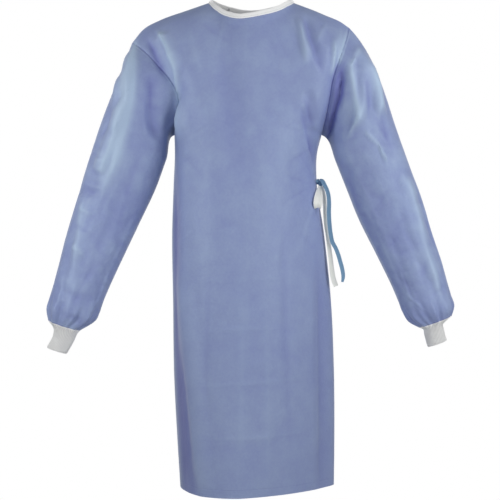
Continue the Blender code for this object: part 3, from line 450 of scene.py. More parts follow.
# %% Fine creases
CREASE_COLUMNS = ("x0", "z0", "x1", "z1", "bow", "height", "half_width", "skew")
BODY_CREASES = (
    (-0.227, -0.068, -0.176, -0.172, 0.005, 0.0068, 0.013, 0.3),
    (-0.176, -0.15, -0.172, -0.33, 0.002, 0.0056, 0.013, 0.3),
    (-0.25, -0.088, -0.2, -0.195, 0.0, -0.0058, 0.016, 0.3),
    (-0.15, -0.07, -0.118, -0.191, 0.0023, 0.0013, 0.014, 0),
    (-0.127, -0.056, -0.044, -0.12, 0, -0.001, 0.009, 0.4),
    (0.121, -0.05, 0.17, -0.192, -0.0046, -0.0026, 0.018, 0.3),
    (0.112, -0.06, 0.13, -0.172, 0, 0.004, 0.014, -0.3),
    (0.125, -0.244, 0.146, -0.313, 0, -0.002, 0.011, 0.5),
    (0.118, -0.278, 0.132, -0.33, 0, -0.0018, 0.01, 0.5),
    (0.132, -0.318, 0.146, -0.392, 0.0023, -0.0026, 0.011, 0.5),
    (0.194, -0.1, 0.187, -0.195, 0, 0.006, 0.01, 0),
    (0.227, -0.068, 0.198, -0.172, 0, 0.0055, 0.01, 0.3),
    (0.214, -0.06, 0.201, -0.16, 0, 0.004, 0.022, 0),
    (0.18, -0.052, 0.15, -0.11, 0, 0.0018, 0.012, 0.4),
    (0.16, -0.327, 0.07, -0.292, 0.0023, 0.001, 0.008, 0.5),
    (0.157, -0.345, 0.084, -0.393, -0.0023, -0.0011, 0.008, 0.5),
    (-0.161, -0.343, -0.09, -0.304, -0.0023, 0.001, 0.008, 0.5),
    (-0.168, -0.368, -0.099, -0.441, 0.0023, -0.0011, 0.009, 0.5),
    (-0.063, -0.065, -0.086, -0.143, 0, 0.0009, 0.008, 0.4),
    (0.043, -0.061, 0.082, -0.148, 0, -0.0009, 0.008, 0.4),
    (-0.01, -0.065, -0.017, -0.171, 0, 0.0007, 0.01, 0),
    (0.089, -0.047, 0.112, -0.111, 0, 0.001, 0.007, 0.3),
    (0.148, -0.437, 0.066, -0.414, 0.0023, -0.0013, 0.007, 0.5),
    (0.148, -0.441, 0.075, -0.485, -0.0023, -0.0013, 0.008, 0.5),
    (0.151, -0.455, 0.114, -0.584, 0.0023, 0.0013, 0.009, 0.5),
    (0.148, -0.428, 0.109, -0.363, -0.0023, -0.0011, 0.006, 0.5),
    (-0.174, -0.74, -0.108, -1.2, 0, 0.0012, 0.014, 0.3),
    (-0.186, -0.7, -0.15, -1.24, 0, -0.0044, 0.03, 0),
    (-0.168, -0.76, -0.126, -1.23, 0, -0.004, 0.034, -0.4),
    (-0.181, -0.38, -0.183, -0.86, 0, -0.0068, 0.03, -0.1),
    (-0.021, -0.593, -0.028, -1.134, 0.0046, 0.0009, 0.02, 0),
    (0.075, -0.478, 0.093, -1.107, -0.0046, -0.0012, 0.02, 0),
    (0.157, -0.666, 0.157, -1.125, 0, 0.0016, 0.008, 0.5),
    (-0.09, -0.604, -0.104, -0.983, -0.0046, -0.0009, 0.016, 0),
    (0.029, -0.707, 0.038, -1.143, 0.0046, 0.0009, 0.016, 0),
    (-0.115, -0.779, 0.114, -0.769, 0, 0.0008, 0.007, 1.0),
    (-0.129, -0.905, 0.135, -0.893, 0.0023, 0.001, 0.007, 1.0),
    (-0.104, -1.022, 0.123, -1.015, -0.0023, 0.001, 0.007, 1.0),
    (-0.01, -0.162, -0.01, -1.152, 0, 0.0004, 0.0035, 1),
    (-0.127, -0.664, 0.102, -0.659, 0, 0.0006, 0.007, 1.0),
)
SLEEVE_CREASES = (
    (-0.276, -0.095, -0.358, -0.48, 0.026, 0.0095, 0.03, -0.3),
    (-0.301, -0.19, -0.308, -0.33, 0.0023, 0.0035, 0.014, 0.3),
    (-0.274, -0.08, -0.278, -0.262, 0, 0.0062, 0.015, -0.2),
    (-0.277, -0.225, -0.352, -0.425, 0, 0.0045, 0.012, -0.2),
    (-0.245, -0.174, -0.236, -0.271, 0.0023, -0.0018, 0.008, 0.4),
    (-0.387, -0.36, -0.341, -0.383, 0, -0.0018, 0.0095, 0.4),
    (-0.38, -0.395, -0.343, -0.411, 0, 0.0026, 0.0095, 0.4),
    (-0.394, -0.43, -0.352, -0.444, 0.0023, -0.0014, 0.0095, 0.4),
    (-0.397, -0.455, -0.359, -0.46, 0, -0.0016, 0.008, 0.4),
    (-0.408, -0.488, -0.371, -0.511, -0.0023, 0.003, 0.0095, 0.4),
    (-0.418, -0.535, -0.378, -0.551, 0, -0.003, 0.0095, 0.4),
    (-0.422, -0.581, -0.387, -0.611, 0.0023, 0.0029, 0.0095, 0.4),
    (-0.392, -0.455, -0.412, -0.64, 0, 0.0042, 0.026, 0),
    (-0.334, -0.29, -0.362, -0.332, 0, -0.0014, 0.006, 0.5),
    (-0.257, -0.36, -0.324, -0.621, -0.007, -0.001, 0.0117, 0.4),
    (-0.213, -0.36, -0.283, -0.551, 0.007, 0.001, 0.0117, 0.4),
    (-0.301, -0.42, -0.352, -0.528, -0.0047, 0.0009, 0.0091, 0.5),
    (-0.362, -0.621, -0.422, -0.747, -0.0047, -0.0012, 0.01, 0.5),
    (-0.334, -0.635, -0.371, -0.737, 0.0047, 0.0016, 0.007, 0.5),
    (-0.439, -0.651, -0.45, -0.723, 0, 0.0014, 0.007, 0.4),
    (-0.399, -0.639, -0.432, -0.737, 0.0023, 0.0013, 0.006, 0.5),
    (0.257, -0.11, 0.23, -0.168, 0.0, 0.0058, 0.011, 0.2),
    (0.228, -0.14, 0.249, -0.296, 0.0, 0.0072, 0.016, 0),
    (0.256, -0.268, 0.224, -0.334, 0, 0.005, 0.01, 0.2),
    (0.274, -0.15, 0.302, -0.285, 0.0047, 0.007, 0.021, 0.2),
    (0.262, -0.18, 0.276, -0.29, 0, -0.0032, 0.012, 0),
    (0.298, -0.255, 0.325, -0.34, 0, -0.0026, 0.013, 0.3),
    (0.262, -0.314, 0.3, -0.35, 0, 0.0062, 0.01, 0.4),
    (0.294, -0.34, 0.318, -0.392, 0, 0.0062, 0.01, 0.4),
    (0.3, -0.295, 0.334, -0.36, 0, -0.0022, 0.012, 0.3),
    (0.358, -0.42, 0.402, -0.58, 0.0047, 0.0048, 0.018, 0.3),
    (0.4, -0.565, 0.444, -0.715, -0.0047, 0.0048, 0.018, 0.3),
    (0.218, -0.395, 0.288, -0.56, -0.0047, -0.0014, 0.0117, 0.4),
    (0.253, -0.476, 0.346, -0.686, 0.007, 0.0011, 0.0104, 0.4),
    (0.29, -0.406, 0.342, -0.537, 0.0047, -0.0009, 0.0104, 0.5),
    (0.358, -0.695, 0.404, -0.737, 0, 0.0017, 0.005, 0.5),
    (0.346, -0.639, 0.381, -0.723, 0, -0.0017, 0.006, 0.5),
    (0.421, -0.621, 0.453, -0.719, 0.0023, -0.0014, 0.006, 0.5),
    (0.212, -0.165, 0.196, -0.264, 0, -0.01, 0.013, 0.5),
    (0.198, -0.245, 0.18, -0.328, 0, -0.0078, 0.01, 0.5),
    (0.311, -0.467, 0.281, -0.509, 0, -0.0014, 0.005, 0.6),
    (0.342, -0.56, 0.309, -0.597, 0, -0.0014, 0.005, 0.6),
)
BACK_CREASES = (
    (-0.21, -0.07, -0.19, -0.2, 0.004, 0.0024, 0.009, 0.5),
    (-0.17, -0.1, -0.15, -0.3, -0.004, -0.002, 0.009, 0.4),
    (0.19, -0.06, 0.17, -0.2, -0.004, 0.0024, 0.009, 0.5),
    (0.14, -0.09, 0.13, -0.28, 0.004, -0.002, 0.009, 0.4),
    (-0.05, -0.05, -0.08, -0.24, 0.003, 0.0012, 0.012, 0.3),
    (0.06, -0.32, 0.14, -0.43, 0.004, -0.0018, 0.008, 0.5),
    (0.02, -0.4, 0.15, -0.44, 0.003, 0.0016, 0.008, 0.5),
    (0.0, -0.52, 0.14, -0.45, -0.004, -0.0016, 0.009, 0.5),
    (-0.04, -0.44, -0.15, -0.5, 0.003, 0.0014, 0.01, 0.4),
    (-0.14, -0.62, -0.13, -1.1, 0.006, 0.0018, 0.014, 0.3),
    (-0.06, -0.6, -0.05, -1.15, -0.006, -0.0016, 0.016, 0.3),
    (0.13, -0.65, 0.14, -1.14, 0.005, 0.0018, 0.014, 0.3),
    (-0.13, -0.78, 0.1, -0.785, 0.0, 0.0006, 0.0035, 1.0),
    (-0.13, -0.9, 0.12, -0.905, 0.0, 0.0006, 0.0035, 1.0),
    (-0.12, -1.02, 0.12, -1.03, 0.0, 0.0006, 0.0035, 1.0),
    (-0.27, -0.12, -0.28, -0.26, 0.004, 0.0024, 0.008, 0.5),
    (-0.29, -0.24, -0.34, -0.38, -0.004, 0.0022, 0.007, 0.5),
    (-0.3, -0.42, -0.38, -0.44, 0.002, -0.002, 0.006, 0.5),
    (-0.31, -0.47, -0.4, -0.5, 0.002, 0.0018, 0.006, 0.5),
    (-0.33, -0.55, -0.42, -0.57, 0.002, -0.0018, 0.006, 0.5),
    (-0.37, -0.6, -0.44, -0.74, 0.004, 0.0018, 0.008, 0.5),
    (0.25, -0.1, 0.28, -0.26, 0.004, 0.0024, 0.008, 0.5),
    (0.28, -0.26, 0.34, -0.4, 0.004, 0.0022, 0.007, 0.5),
    (0.28, -0.42, 0.37, -0.45, 0.002, -0.002, 0.006, 0.5),
    (0.31, -0.5, 0.4, -0.52, 0.002, 0.0018, 0.006, 0.5),
    (0.33, -0.57, 0.42, -0.6, 0.002, -0.0018, 0.006, 0.5),
    (0.37, -0.6, 0.44, -0.73, 0.004, 0.0018, 0.008, 0.5),
)
FRONT_CREASES = BODY_CREASES + SLEEVE_CREASES
print("fine creases:", len(FRONT_CREASES), "in front,", len(BACK_CREASES), "behind")

# %% [markdown]
# ## How folds are laid in
#
# A fold moves the cloth along its normal. Where panels meet, their normals are averaged, or a fold
# that crosses a seam would tear there. A big fold has a round top. A fine crease has steeper flanks
# that meet in a narrow rounded line. Both fade out at their ends and where the cloth turns away to
# the other side. Between them the cloth is never quite flat, so small uneven wrinkles come from
# noise without its sign, which swells softly and has sharper troughs in between.

# %% Normals and fold heights
def grid_normals(grid):
    """Normals of a grid's own faces at each of its points."""
    total = np.zeros_like(grid)
    face = np.cross(grid[1:, 1:] - grid[:-1, :-1], grid[1:, :-1] - grid[:-1, 1:])
    for rows, columns in ((slice(1, None), slice(1, None)), (slice(1, None), slice(0, -1)),
                          (slice(0, -1), slice(1, None)), (slice(0, -1), slice(0, -1))):
        total[rows, columns] += face
    return unit(total)


SEWN_GROUPS = (("front", "back"), ("sleeve_right",), ("sleeve_left",))


def shared_normals(grids):
    """Normals that are the same wherever grids share a point, so that folds run on over a seam."""
    points = np.concatenate([grid.reshape(-1, 3) for grid in grids.values()])
    keys, place = np.unique(np.round(points, 6), axis=0, return_inverse=True)
    ends = np.cumsum([grid.size // 3 for grid in grids.values()])[:-1]
    places = dict(zip(grids, np.split(place.reshape(-1), ends)))
    total = np.zeros((len(keys), 3))
    for group in SEWN_GROUPS:
        added = np.zeros_like(total)
        for name in group:
            np.add.at(added, places[name], grid_normals(grids[name]).reshape(-1, 3))
        total += unit(added)
    total = unit(total)
    return {name: total[places[name]].reshape(grid.shape) for name, grid in grids.items()}


CREST_ROUND = 0.12        # how round the line of a fine crease is, as a share of its half width
SKEW_REACH = 0.6          # how much wider one flank gets, and the other narrower, at a skew of 1
CREASE_FADE, FOLD_FADE = 0.4, 0.25   # share of its length over which a crease or a big fold rises
OVERRUN = 0.08            # share of its length by which it starts before its first point
SEEN_PAST, SEEN_FADE = 0.05, 0.35    # how far a fold runs on round the side of the gown


def line_heights(points, normals, face, table, columns):
    """How far the folds of one table lift or sink each point of the side that they show on."""
    seen = smooth_step((face * normals[..., 1] + SEEN_PAST) / SEEN_FADE)
    total = np.zeros(points.shape[:-1])
    for row in table:
        fold = dict(zip(columns, row))
        start = np.array((fold["x0"], fold["z0"]))
        line = np.array((fold["x1"], fold["z1"])) - start
        length = np.linalg.norm(line)
        place = points[..., (0, 2)] - start
        share = (place @ line) / length**2
        middle = 1.0 - (2.0 * np.clip(share, 0.0, 1.0) - 1.0) ** 2
        off = (place @ np.array((-line[1], line[0]))) / length - fold["bow"] * middle
        if "skew" in fold:
            side = off / (fold["half_width"] * (1.0 + SKEW_REACH * fold["skew"] * np.sign(off)))
            at_foot = np.sqrt(1.0 + CREST_ROUND**2) - CREST_ROUND
            away = (np.sqrt(side**2 + CREST_ROUND**2) - CREST_ROUND) / at_foot
            across = np.clip(1.0 - away, 0.0, 1.0) ** 2
        else:
            across = np.clip(1.0 - (off / fold["half_width"]) ** 2, 0.0, 1.0) ** 2
        fade = CREASE_FADE if "skew" in fold else FOLD_FADE
        ends = smooth_step((share + OVERRUN) / fade) * smooth_step((1.0 + OVERRUN - share) / fade)
        total += fold["height"] * across * ends
    return total * seen


def crumple(points):
    """Small uneven wrinkles that nobody places one by one: soft swells with sharper troughs between."""
    flat = points.reshape(-1, 3)
    big = [abs(noise.noise(Vector(p) * 17.0)) for p in flat]
    small = [abs(noise.noise(Vector(p) * 43.0 + Vector((7.0, 3.0, 5.0)))) for p in flat]
    return (0.9 * np.array(big) + 0.5 * np.array(small) - 0.4).reshape(points.shape[:-1])


print("wrinkle where the noise is 0, as a share of its depth:", crumple(np.zeros((1, 3)))[0])

# %% Lay the folds into the sheets
seams_at_arms = np.concatenate([armhole(side, back)[::4] for side in (-1, 1) for back in (False, True)])
# Distances from an armhole's seam, and the share of a fold's height that is kept there.
CALM_BIG = ((0.0, 0.017, 0.034, 0.051, 0.068), (0.0, 0.1, 0.5, 0.8, 1.0))
CALM_FINE = ((0.0, 0.014), (0.1, 1.0))
CRUMPLE_DEPTH = {"front": 0.0020, "back": 0.0020, "sleeve_right": 0.0038, "sleeve_left": 0.0038}
# The next share of a big fold's height goes into the colour as painted highlight on its crest and painted
# shade in its trough.
FOLD_PAINTED_SHADING = 0.25          # share of a big fold's height that changes the colour as a fine crease does
SKIRT_CALM = 0.55         # share of the wrinkles that the long flat skirt keeps

normals = shared_normals(grids)
crests = {}
for name, grid in grids.items():
    flat = grid.reshape(-1, 3)
    gap = np.min([np.linalg.norm(flat - p, axis=1) for p in seams_at_arms], axis=0).reshape(grid.shape[:2])
    big_front = line_heights(grid, normals[name], -1.0, FRONT_FOLDS, FOLD_COLUMNS)
    big = big_front + line_heights(grid, normals[name], 1.0, BACK_FOLDS, FOLD_COLUMNS)
    fine = (line_heights(grid, normals[name], -1.0, FRONT_CREASES, CREASE_COLUMNS)
            + line_heights(grid, normals[name], 1.0, BACK_CREASES, CREASE_COLUMNS))
    if name in ("front", "back"):
        low = smooth_step((WAIST_Z + 0.05 - grid[..., 2]) / 0.2)
    else:
        low = 0.0
    facing = smooth_step(np.abs(normals[name][..., 1]) / 0.7)
    wrinkles = crumple(grid) * CRUMPLE_DEPTH[name] * (1.0 - (1.0 - SKIRT_CALM) * low) * facing
    # These heights colour the cloth: painted highlight on crests and painted shade in troughs.
    crests[name] = fine + wrinkles + FOLD_PAINTED_SHADING * big_front
    heights = big * np.interp(gap, *CALM_BIG) + (fine + wrinkles) * np.interp(gap, *CALM_FINE)
    grid += normals[name] * heights[..., None]
normals = shared_normals(grids)
for name, crest in crests.items():
    print(f"{name}: creases from {1000.0 * crest.min():.1f} to {1000.0 * crest.max():.1f} mm")

# %% [markdown]
# ## From a surface to cloth
#
# A surface has no thickness, and cloth seen at its edge does. The Solidify modifier could give it
# a wall, but here the inner skin is built beside the outer one, since that lets the hem be thicker
# than the rest. Every sheet also gets a UV map that is measured in metres along the cloth, so that
# its texture keeps its size, and a few values at each point: how far it is from a sewn edge, how
# far from a hem, and how high its creases stand. The materials read them later.

# %% A sheet of cloth with two skins
HALF_GAP = 0.00015        # half of the space between two pieces at a seam


def lengths_along(grid, axis):
    """Length along the cloth from the first row or column to each point."""
    steps = np.linalg.norm(np.diff(grid, axis=axis), axis=2)
    start = np.zeros_like(np.take(steps, [0], axis=axis))
    return np.concatenate((start, np.cumsum(steps, axis=axis)), axis=axis)


MITRE_LIMIT = 0.55        # keeps the inner skin from running far out where the cloth turns sharply
SHARP_ANGLE = np.radians(50.0)   # edges that turn more than this stay sharp


def cloth_sheet(name, outer, facing, thickness, values):
    """A mesh object between an outer skin and an inner skin, with UVs in metres."""
    rows, columns = outer.shape[:2]
    slant = np.sum(grid_normals(outer) * facing, axis=2, keepdims=True)
    wall = np.broadcast_to(thickness, (rows, columns))[..., None]
    inner = outer - facing * wall / np.clip(slant, MITRE_LIMIT, 1.0)
    points = np.concatenate((outer.reshape(-1, 3), inner.reshape(-1, 3)))
    out = np.arange(rows * columns).reshape(rows, columns)
    ins = out + rows * columns
    quads = [
        np.stack((out[:-1, :-1], out[:-1, 1:], out[1:, 1:], out[1:, :-1]), axis=-1),
        np.stack((ins[:-1, 1:], ins[:-1, :-1], ins[1:, :-1], ins[1:, 1:]), axis=-1),
        np.stack((out[0, 1:], out[0, :-1], ins[0, :-1], ins[0, 1:]), axis=-1),
        np.stack((out[-1, :-1], out[-1, 1:], ins[-1, 1:], ins[-1, :-1]), axis=-1),
        np.stack((out[:-1, 0], out[1:, 0], ins[1:, 0], ins[:-1, 0]), axis=-1),
        np.stack((out[1:, -1], out[:-1, -1], ins[:-1, -1], ins[1:, -1]), axis=-1),
    ]
    faces = np.concatenate([quad.reshape(-1, 4) for quad in quads])
    mesh = bpy.data.meshes.new(name)
    mesh.from_pydata(points.tolist(), [], faces.tolist())
    uv = np.stack((lengths_along(outer, 1), lengths_along(outer, 0)), axis=-1).reshape(-1, 2)
    both = np.concatenate((uv, uv))
    corners = np.zeros(len(mesh.loops), int)
    mesh.loops.foreach_get("vertex_index", corners)
    mesh.uv_layers.new(name="cloth").data.foreach_set("uv", both[corners].astype(np.float32).ravel())
    for key, value in values.items():
        layer = mesh.attributes.new(key, "FLOAT", "POINT")
        flat = np.broadcast_to(value, (rows, columns)).ravel()
        layer.data.foreach_set("value", np.concatenate((flat, flat)).astype(np.float32))
    mesh.shade_smooth()
    mesh.set_sharp_from_angle(angle=SHARP_ANGLE)
    item = bpy.data.objects.new(name, mesh)
    bpy.context.collection.objects.link(item)
    print(name, "faces:", len(mesh.polygons))
    return item


def edge_values(grid, sewn, hemmed, crest):
    """Distances in metres from the sewn edges and the hemmed edges, and the height of the creases."""
    across, up = lengths_along(grid, 1), lengths_along(grid, 0)
    gaps = {"first": across, "last": across[:, -1:] - across, "bottom": up, "top": up[-1:] - up}
    far = np.full(grid.shape[:2], 1.0)
    return {"seam_gap": np.min([far] + [gaps[side] for side in sewn], axis=0),
            "hem_gap": np.min([far] + [gaps[side] for side in hemmed], axis=0),
            "crest": crest * 1000.0}


EDGES = {                 # a grid's edge, and the row or column next to it
    "first": ((slice(None), 0), (slice(None), 1)),
    "last": ((slice(None), -1), (slice(None), -2)),
    "bottom": ((0,), (1,)),
    "top": ((-1,), (-2,)),
}


def stand_off(grid, *sides):
    """Moves the named edges back along the cloth, to leave half of a seam's gap."""
    moved = grid.copy()
    for side in sides:
        edge, inside = EDGES[side]
        moved[edge] += unit(grid[inside] - grid[edge]) * HALF_GAP
    return moved


print("sheet edges:", *EDGES)

# %% [markdown]
# ## Front, back and sleeves
#
# The front is one piece. The back is two, and the outer one laps over the inner one towards the
# wearer's left, so it stands off by a few millimetres there and comes down to the common surface
# past the lap. The hem and the free back edges are turned in and welded, so the wall is doubled
# there. A sleeve is a single sheet whose two long edges meet under the arm.

# %% Front panel
HEM_WIDTH = 0.020
HEM_STEP = 0.003          # width over which the doubled wall thins to a single one


def wall_of(values):
    """Thickness of the cloth: doubled within the width of a hem."""
    return CLOTH * (2.0 - smooth_step((values["hem_gap"] - HEM_WIDTH) / HEM_STEP))


front = grids["front"]
values = edge_values(front, ("first", "last", "top"), ("bottom",), crests["front"])
outer = stand_off(front, "first", "last", "top")
front_panel = cloth_sheet("front_panel_cloth", outer, normals["front"], wall_of(values), values)

# %% Back panels
back = grids["back"]
outer_edge = SHOULDER_STEPS + OUTER_EDGE
inner_edge = SHOULDER_STEPS + INNER_EDGE
part = slice(0, inner_edge + 1)
values = edge_values(back[:, part], ("first", "top"), ("bottom", "last"), crests["back"][:, part])
outer = stand_off(back[:, part], "first", "top")
back_left = cloth_sheet("back_left_cloth", outer, normals["back"][:, part], wall_of(values), values)

part = slice(outer_edge, back.shape[1])
lift = LAP_OFFSET * smooth_step((inner_edge + LAP_BLEND - np.arange(outer_edge, back.shape[1])) / LAP_BLEND)
lapped = back[:, part] + normals["back"][:, part] * lift[None, :, None]
values = edge_values(lapped, ("last", "top"), ("bottom", "first"), crests["back"][:, part])
outer = stand_off(lapped, "last", "top")
back_right = cloth_sheet("back_right_cloth", outer, normals["back"][:, part], wall_of(values), values)

# %% Sleeves
sleeves = {}
for side in ("right", "left"):
    name = "sleeve_" + side
    values = edge_values(grids[name], ("first", "last", "top", "bottom"), (), crests[name])
    outer = stand_off(grids[name], "top", "bottom")
    sleeves[side] = cloth_sheet(name + "_cloth", outer, normals[name], CLOTH, values)

# %% [markdown]
# ## Knit cuffs
#
# The cuffs are a rib knit, doubled over at the hand. The ribs are real relief, because at this
# size a bump alone reads as print: each one is a raised cord with a narrow channel beside it. At
# the sleeve they start flat, where the seam holds them, and the folded end is a soft round edge.

# %% Ribbed tubes
RIBS = 44
RIB_LINES = 6 * RIBS
RIB_HEIGHT = 0.0006
CUFF_STEPS = 36
CUFF_WALL = 0.0018
CUFF_SHARES = (0.0, 0.22, 0.48, 1.0)   # where the sections lie along the cuff
HELD_SHARE = 0.25         # how much of the cuff the seam holds flat
END_SHARE, END_DROP = 0.05, 0.0009     # the round edge at the folded end
SLACK = ((3.0, 1.0, 0.001), (5.0, 0.0, 0.0007))   # waves round, turn, height


def cuff(side, name):
    """One ribbed cuff, from the sleeve's last ring to its folded end."""
    sleeve = np.array(RIGHT_SLEEVE if side < 0 else LEFT_SLEEVE)
    table = np.concatenate((sleeve[-1:], np.array(RIGHT_CUFF if side < 0 else LEFT_CUFF)))
    angle = np.linspace(0.0, 2.0 * np.pi, RIB_LINES + 1)
    share = np.linspace(0.0, 1.0, CUFF_STEPS + 1)
    rings = spline(CUFF_SHARES, table, share)
    held = 1.0 - smooth_step(share / HELD_SHARE)
    rib = np.abs(np.sin(angle * RIBS / 2.0)) ** 0.7
    slack = sum(height * np.sin(count * angle + turn) for count, turn, height in SLACK)
    grid = []
    for row, pull, s in zip(rings, held, share):
        wave = gathers(angle, GATHER_DEPTH[-1][1] * pull) + slack * np.sin(np.pi * s)
        end = np.sqrt(np.clip((1.0 - s) / END_SHARE, 0.0, 1.0))
        wave = wave + (rib * RIB_HEIGHT - END_DROP * (1.0 - end)) * (1.0 - pull)
        grid.append(section_ring(row, side, angle, wave))
    grid = np.array(grid)
    grid[:, -1] = grid[:, 0]
    facing = grid_normals(grid)
    facing[:, 0] = facing[:, -1] = unit(facing[:, 0] + facing[:, -1])
    outer = stand_off(grid, "bottom")
    values = {"rib": np.broadcast_to(rib, grid.shape[:2]), "seam_gap": lengths_along(grid, 0)}
    return cloth_sheet(name, outer, facing, CUFF_WALL, values)


cuffs = {"right": cuff(-1, "cuff_right_knit"), "left": cuff(1, "cuff_left_knit")}

# %% [markdown]
# ## Binding at the neck
#
# The neck is bound with a white folded strip that stands up from the cloth's edge. Its section is
# drawn as a flattened hairpin, round at the fold, and is swept along the neck from the free edge
# of the inner layer to the free edge of the outer one. A strip cut on the bias puckers a little
# where it goes round a curve, so its thickness and height are uneven.

# %% Sweep the binding
BINDING_HEIGHT = 0.011
BINDING_RISE = 0.8        # how strongly it turns upwards out of the plane of the cloth
UNEVEN_HEIGHT, UNEVEN_SIDE = 0.05, 0.25   # how much the pucker changes its height and its thickness
HAIRPIN_SIDE = (          # share of the height, millimetres to the side
    (-0.1, 1.15), (0.0, 1.35), (0.2, 1.5), (0.5, 1.4), (0.8, 1.25), (0.94, 0.95), (1.01, 0.4),
)
HAIRPIN = HAIRPIN_SIDE + tuple((up, -side) for up, side in reversed(HAIRPIN_SIDE))


def inward_from(edge, inside, facing):
    """Unit direction in the cloth, from its edge towards its inside, square to the edge."""
    run = np.gradient(edge, axis=0)
    out = np.cross(facing, run)
    return unit(out) * np.sign(np.sum(out * (inside - edge), axis=1))[:, None]


def neck_stretch(grid, facing, columns):
    """Edge points, normals and inward directions of one panel's stretch of the neck."""
    return [a[columns][::-1] for a in (grid[-1], facing[-1], inward_from(grid[-1], grid[-2], facing[-1]))]


neck_end = SHOULDER_STEPS + BACK_NECK_STEPS
stretches = (
    neck_stretch(back, normals["back"], slice(SHOULDER_STEPS, inner_edge + 1)),
    neck_stretch(front, normals["front"], slice(SHOULDER_STEPS, SHOULDER_STEPS + FRONT_NECK_STEPS + 1)),
    neck_stretch(lapped, normals["back"][:, part], slice(0, neck_end - outer_edge + 1)),
)
line, facing, inward = [np.concatenate([s[i] if n == 0 else s[i][1:] for n, s in enumerate(stretches)])
                        for i in range(3)]
run = unit(np.gradient(line, axis=0))
rise = unit(-inward + np.array((0.0, 0.0, BINDING_RISE)))
rise = unit(rise - run * np.sum(rise * run, axis=1)[:, None])
across = unit(np.cross(rise, run))
across *= np.sign(np.sum(across * facing, axis=1))[:, None]
root = line - facing * CLOTH
place = np.arange(len(line))
pucker = np.array([noise.noise(Vector((0.21 * i, 3.0, 0.0))) for i in place])
height = BINDING_HEIGHT * (1.0 + UNEVEN_HEIGHT * pucker)
rings = []
for rise_share, side_mm in HAIRPIN:
    ripple = np.array([noise.noise(Vector((0.33 * i, 9.0, 2.0 * rise_share))) for i in place])
    offset = side_mm / 1000.0 * (1.0 + UNEVEN_SIDE * ripple)
    rings.append(root + rise * (rise_share * height)[:, None] + across * offset[:, None])
rings.append(rings[0])
profile = np.array(rings)
FOLDED_ANGLE = np.radians(60.0)   # edges of the binding that turn more than this stay sharp


def closed_sweep(name, profile, values):
    """A closed tube from a stack of lines, with flat ends."""
    rows, columns = profile.shape[:2]
    points = profile[:-1].reshape(-1, 3)
    index = np.arange((rows - 1) * columns).reshape(rows - 1, columns)
    around = np.concatenate((index, index[:1]))
    quads = np.stack((around[:-1, :-1], around[:-1, 1:], around[1:, 1:], around[1:, :-1]), axis=-1)
    ends = [index[:, 0].tolist(), index[::-1, -1].tolist()]
    mesh = bpy.data.meshes.new(name)
    mesh.from_pydata(points.tolist(), [], quads.reshape(-1, 4).tolist() + ends)
    uv_rows = lengths_along(profile, 0)
    uv_columns = lengths_along(profile, 1)
    layer = mesh.uv_layers.new(name="cloth")
    for face_number, face in enumerate(mesh.polygons):
        last_row = face_number // (columns - 1) == rows - 2
        for corner in face.loop_indices:
            r, c = divmod(mesh.loops[corner].vertex_index, columns)
            r = rows - 1 if last_row and r == 0 else r
            layer.data[corner].uv = (uv_columns[r, c], uv_rows[r, c])
    for key, value in values.items():
        attribute = mesh.attributes.new(key, "FLOAT", "POINT")
        attribute.data.foreach_set("value", value[:-1].astype(np.float32).ravel())
    mesh.shade_smooth()
    mesh.set_sharp_from_angle(angle=FOLDED_ANGLE)
    item = bpy.data.objects.new(name, mesh)
    bpy.context.collection.objects.link(item)
    bpy.context.view_layer.objects.active = item
    item.select_set(True)
    bpy.ops.object.mode_set(mode="EDIT")
    bpy.ops.mesh.select_all(action="SELECT")
    bpy.ops.mesh.normals_make_consistent(inside=False)
    bpy.ops.object.mode_set(mode="OBJECT")
    item.select_set(False)
    print(name, "faces:", len(mesh.polygons))
    return item


up_the_strip = np.array([h for h, _ in HAIRPIN] + [HAIRPIN[0][0]])[:, None] * height[None, :]
binding = closed_sweep("neck_binding_strip", profile, {"height": up_the_strip})

# %% [markdown]
# ## Ties
#
# A blue belt tie comes round from the outer back layer to the wearer's left hip. There it is
# knotted with a white tie: the white one makes a small loop, and a blue end and a white end hang
# down beside the skirt. They are flat strips, so each is a narrow sheet along a smooth line,
# slightly cupped and twisted, because a flat ribbon with no twist looks like card.

# %% Strips along a line
STRIP_ACROSS = (0.96, 0.28, 0.0)
ACROSS_STEPS = 8
STRIP_WALL = 0.0006
STEPS_TO_A_POINT = 14     # fine rows for each point of a tie's table


def flat_strip(name, points, widths, across, cup):
    """A narrow sheet along a line of points; cup lifts its middle by a share of the width."""
    place = np.linspace(-0.5, 0.5, ACROSS_STEPS + 1)
    run = unit(np.gradient(points, axis=0))
    face = unit(np.cross(across, run))
    rise = (0.25 - place**2)[:, None] * (cup * widths)[None, :] * 2.0
    grid = (points[None] + across[None] * (place[:, None] * widths[None, :])[..., None]
            + face[None] * rise[..., None])
    facing = grid_normals(grid)
    if np.sum(facing * face[None]) < 0.0:
        grid, facing = grid[::-1], -facing[::-1]
    edge = np.broadcast_to((0.5 - np.abs(place))[:, None] * widths[None, :], grid.shape[:2])
    return cloth_sheet(name, grid, facing, STRIP_WALL, {"edge": edge})


TIE_COLUMNS = ("x", "y", "z", "width")


def hanging_strip(name, table, turn, cup):
    """A tie's free stretch. turn is how far it twists along its length, in radians."""
    line = curve(table, STEPS_TO_A_POINT * len(table))
    points = line[:, :3]
    widths = line[:, TIE_COLUMNS.index("width")]
    run = unit(np.gradient(points, axis=0))
    across = unit(STRIP_ACROSS - run * (run @ np.array(STRIP_ACROSS))[:, None])
    side = np.cross(run, across)
    angle = (turn * np.sin(np.linspace(0.0, 3.0, len(points))))[:, None]
    across = across * np.cos(angle) + side * np.sin(angle)
    shake = np.array([noise.noise(Vector((0.12 * i, len(table), 0.0))) for i in range(len(points))])
    return flat_strip(name, points, widths, across, cup * (1.0 + shake))


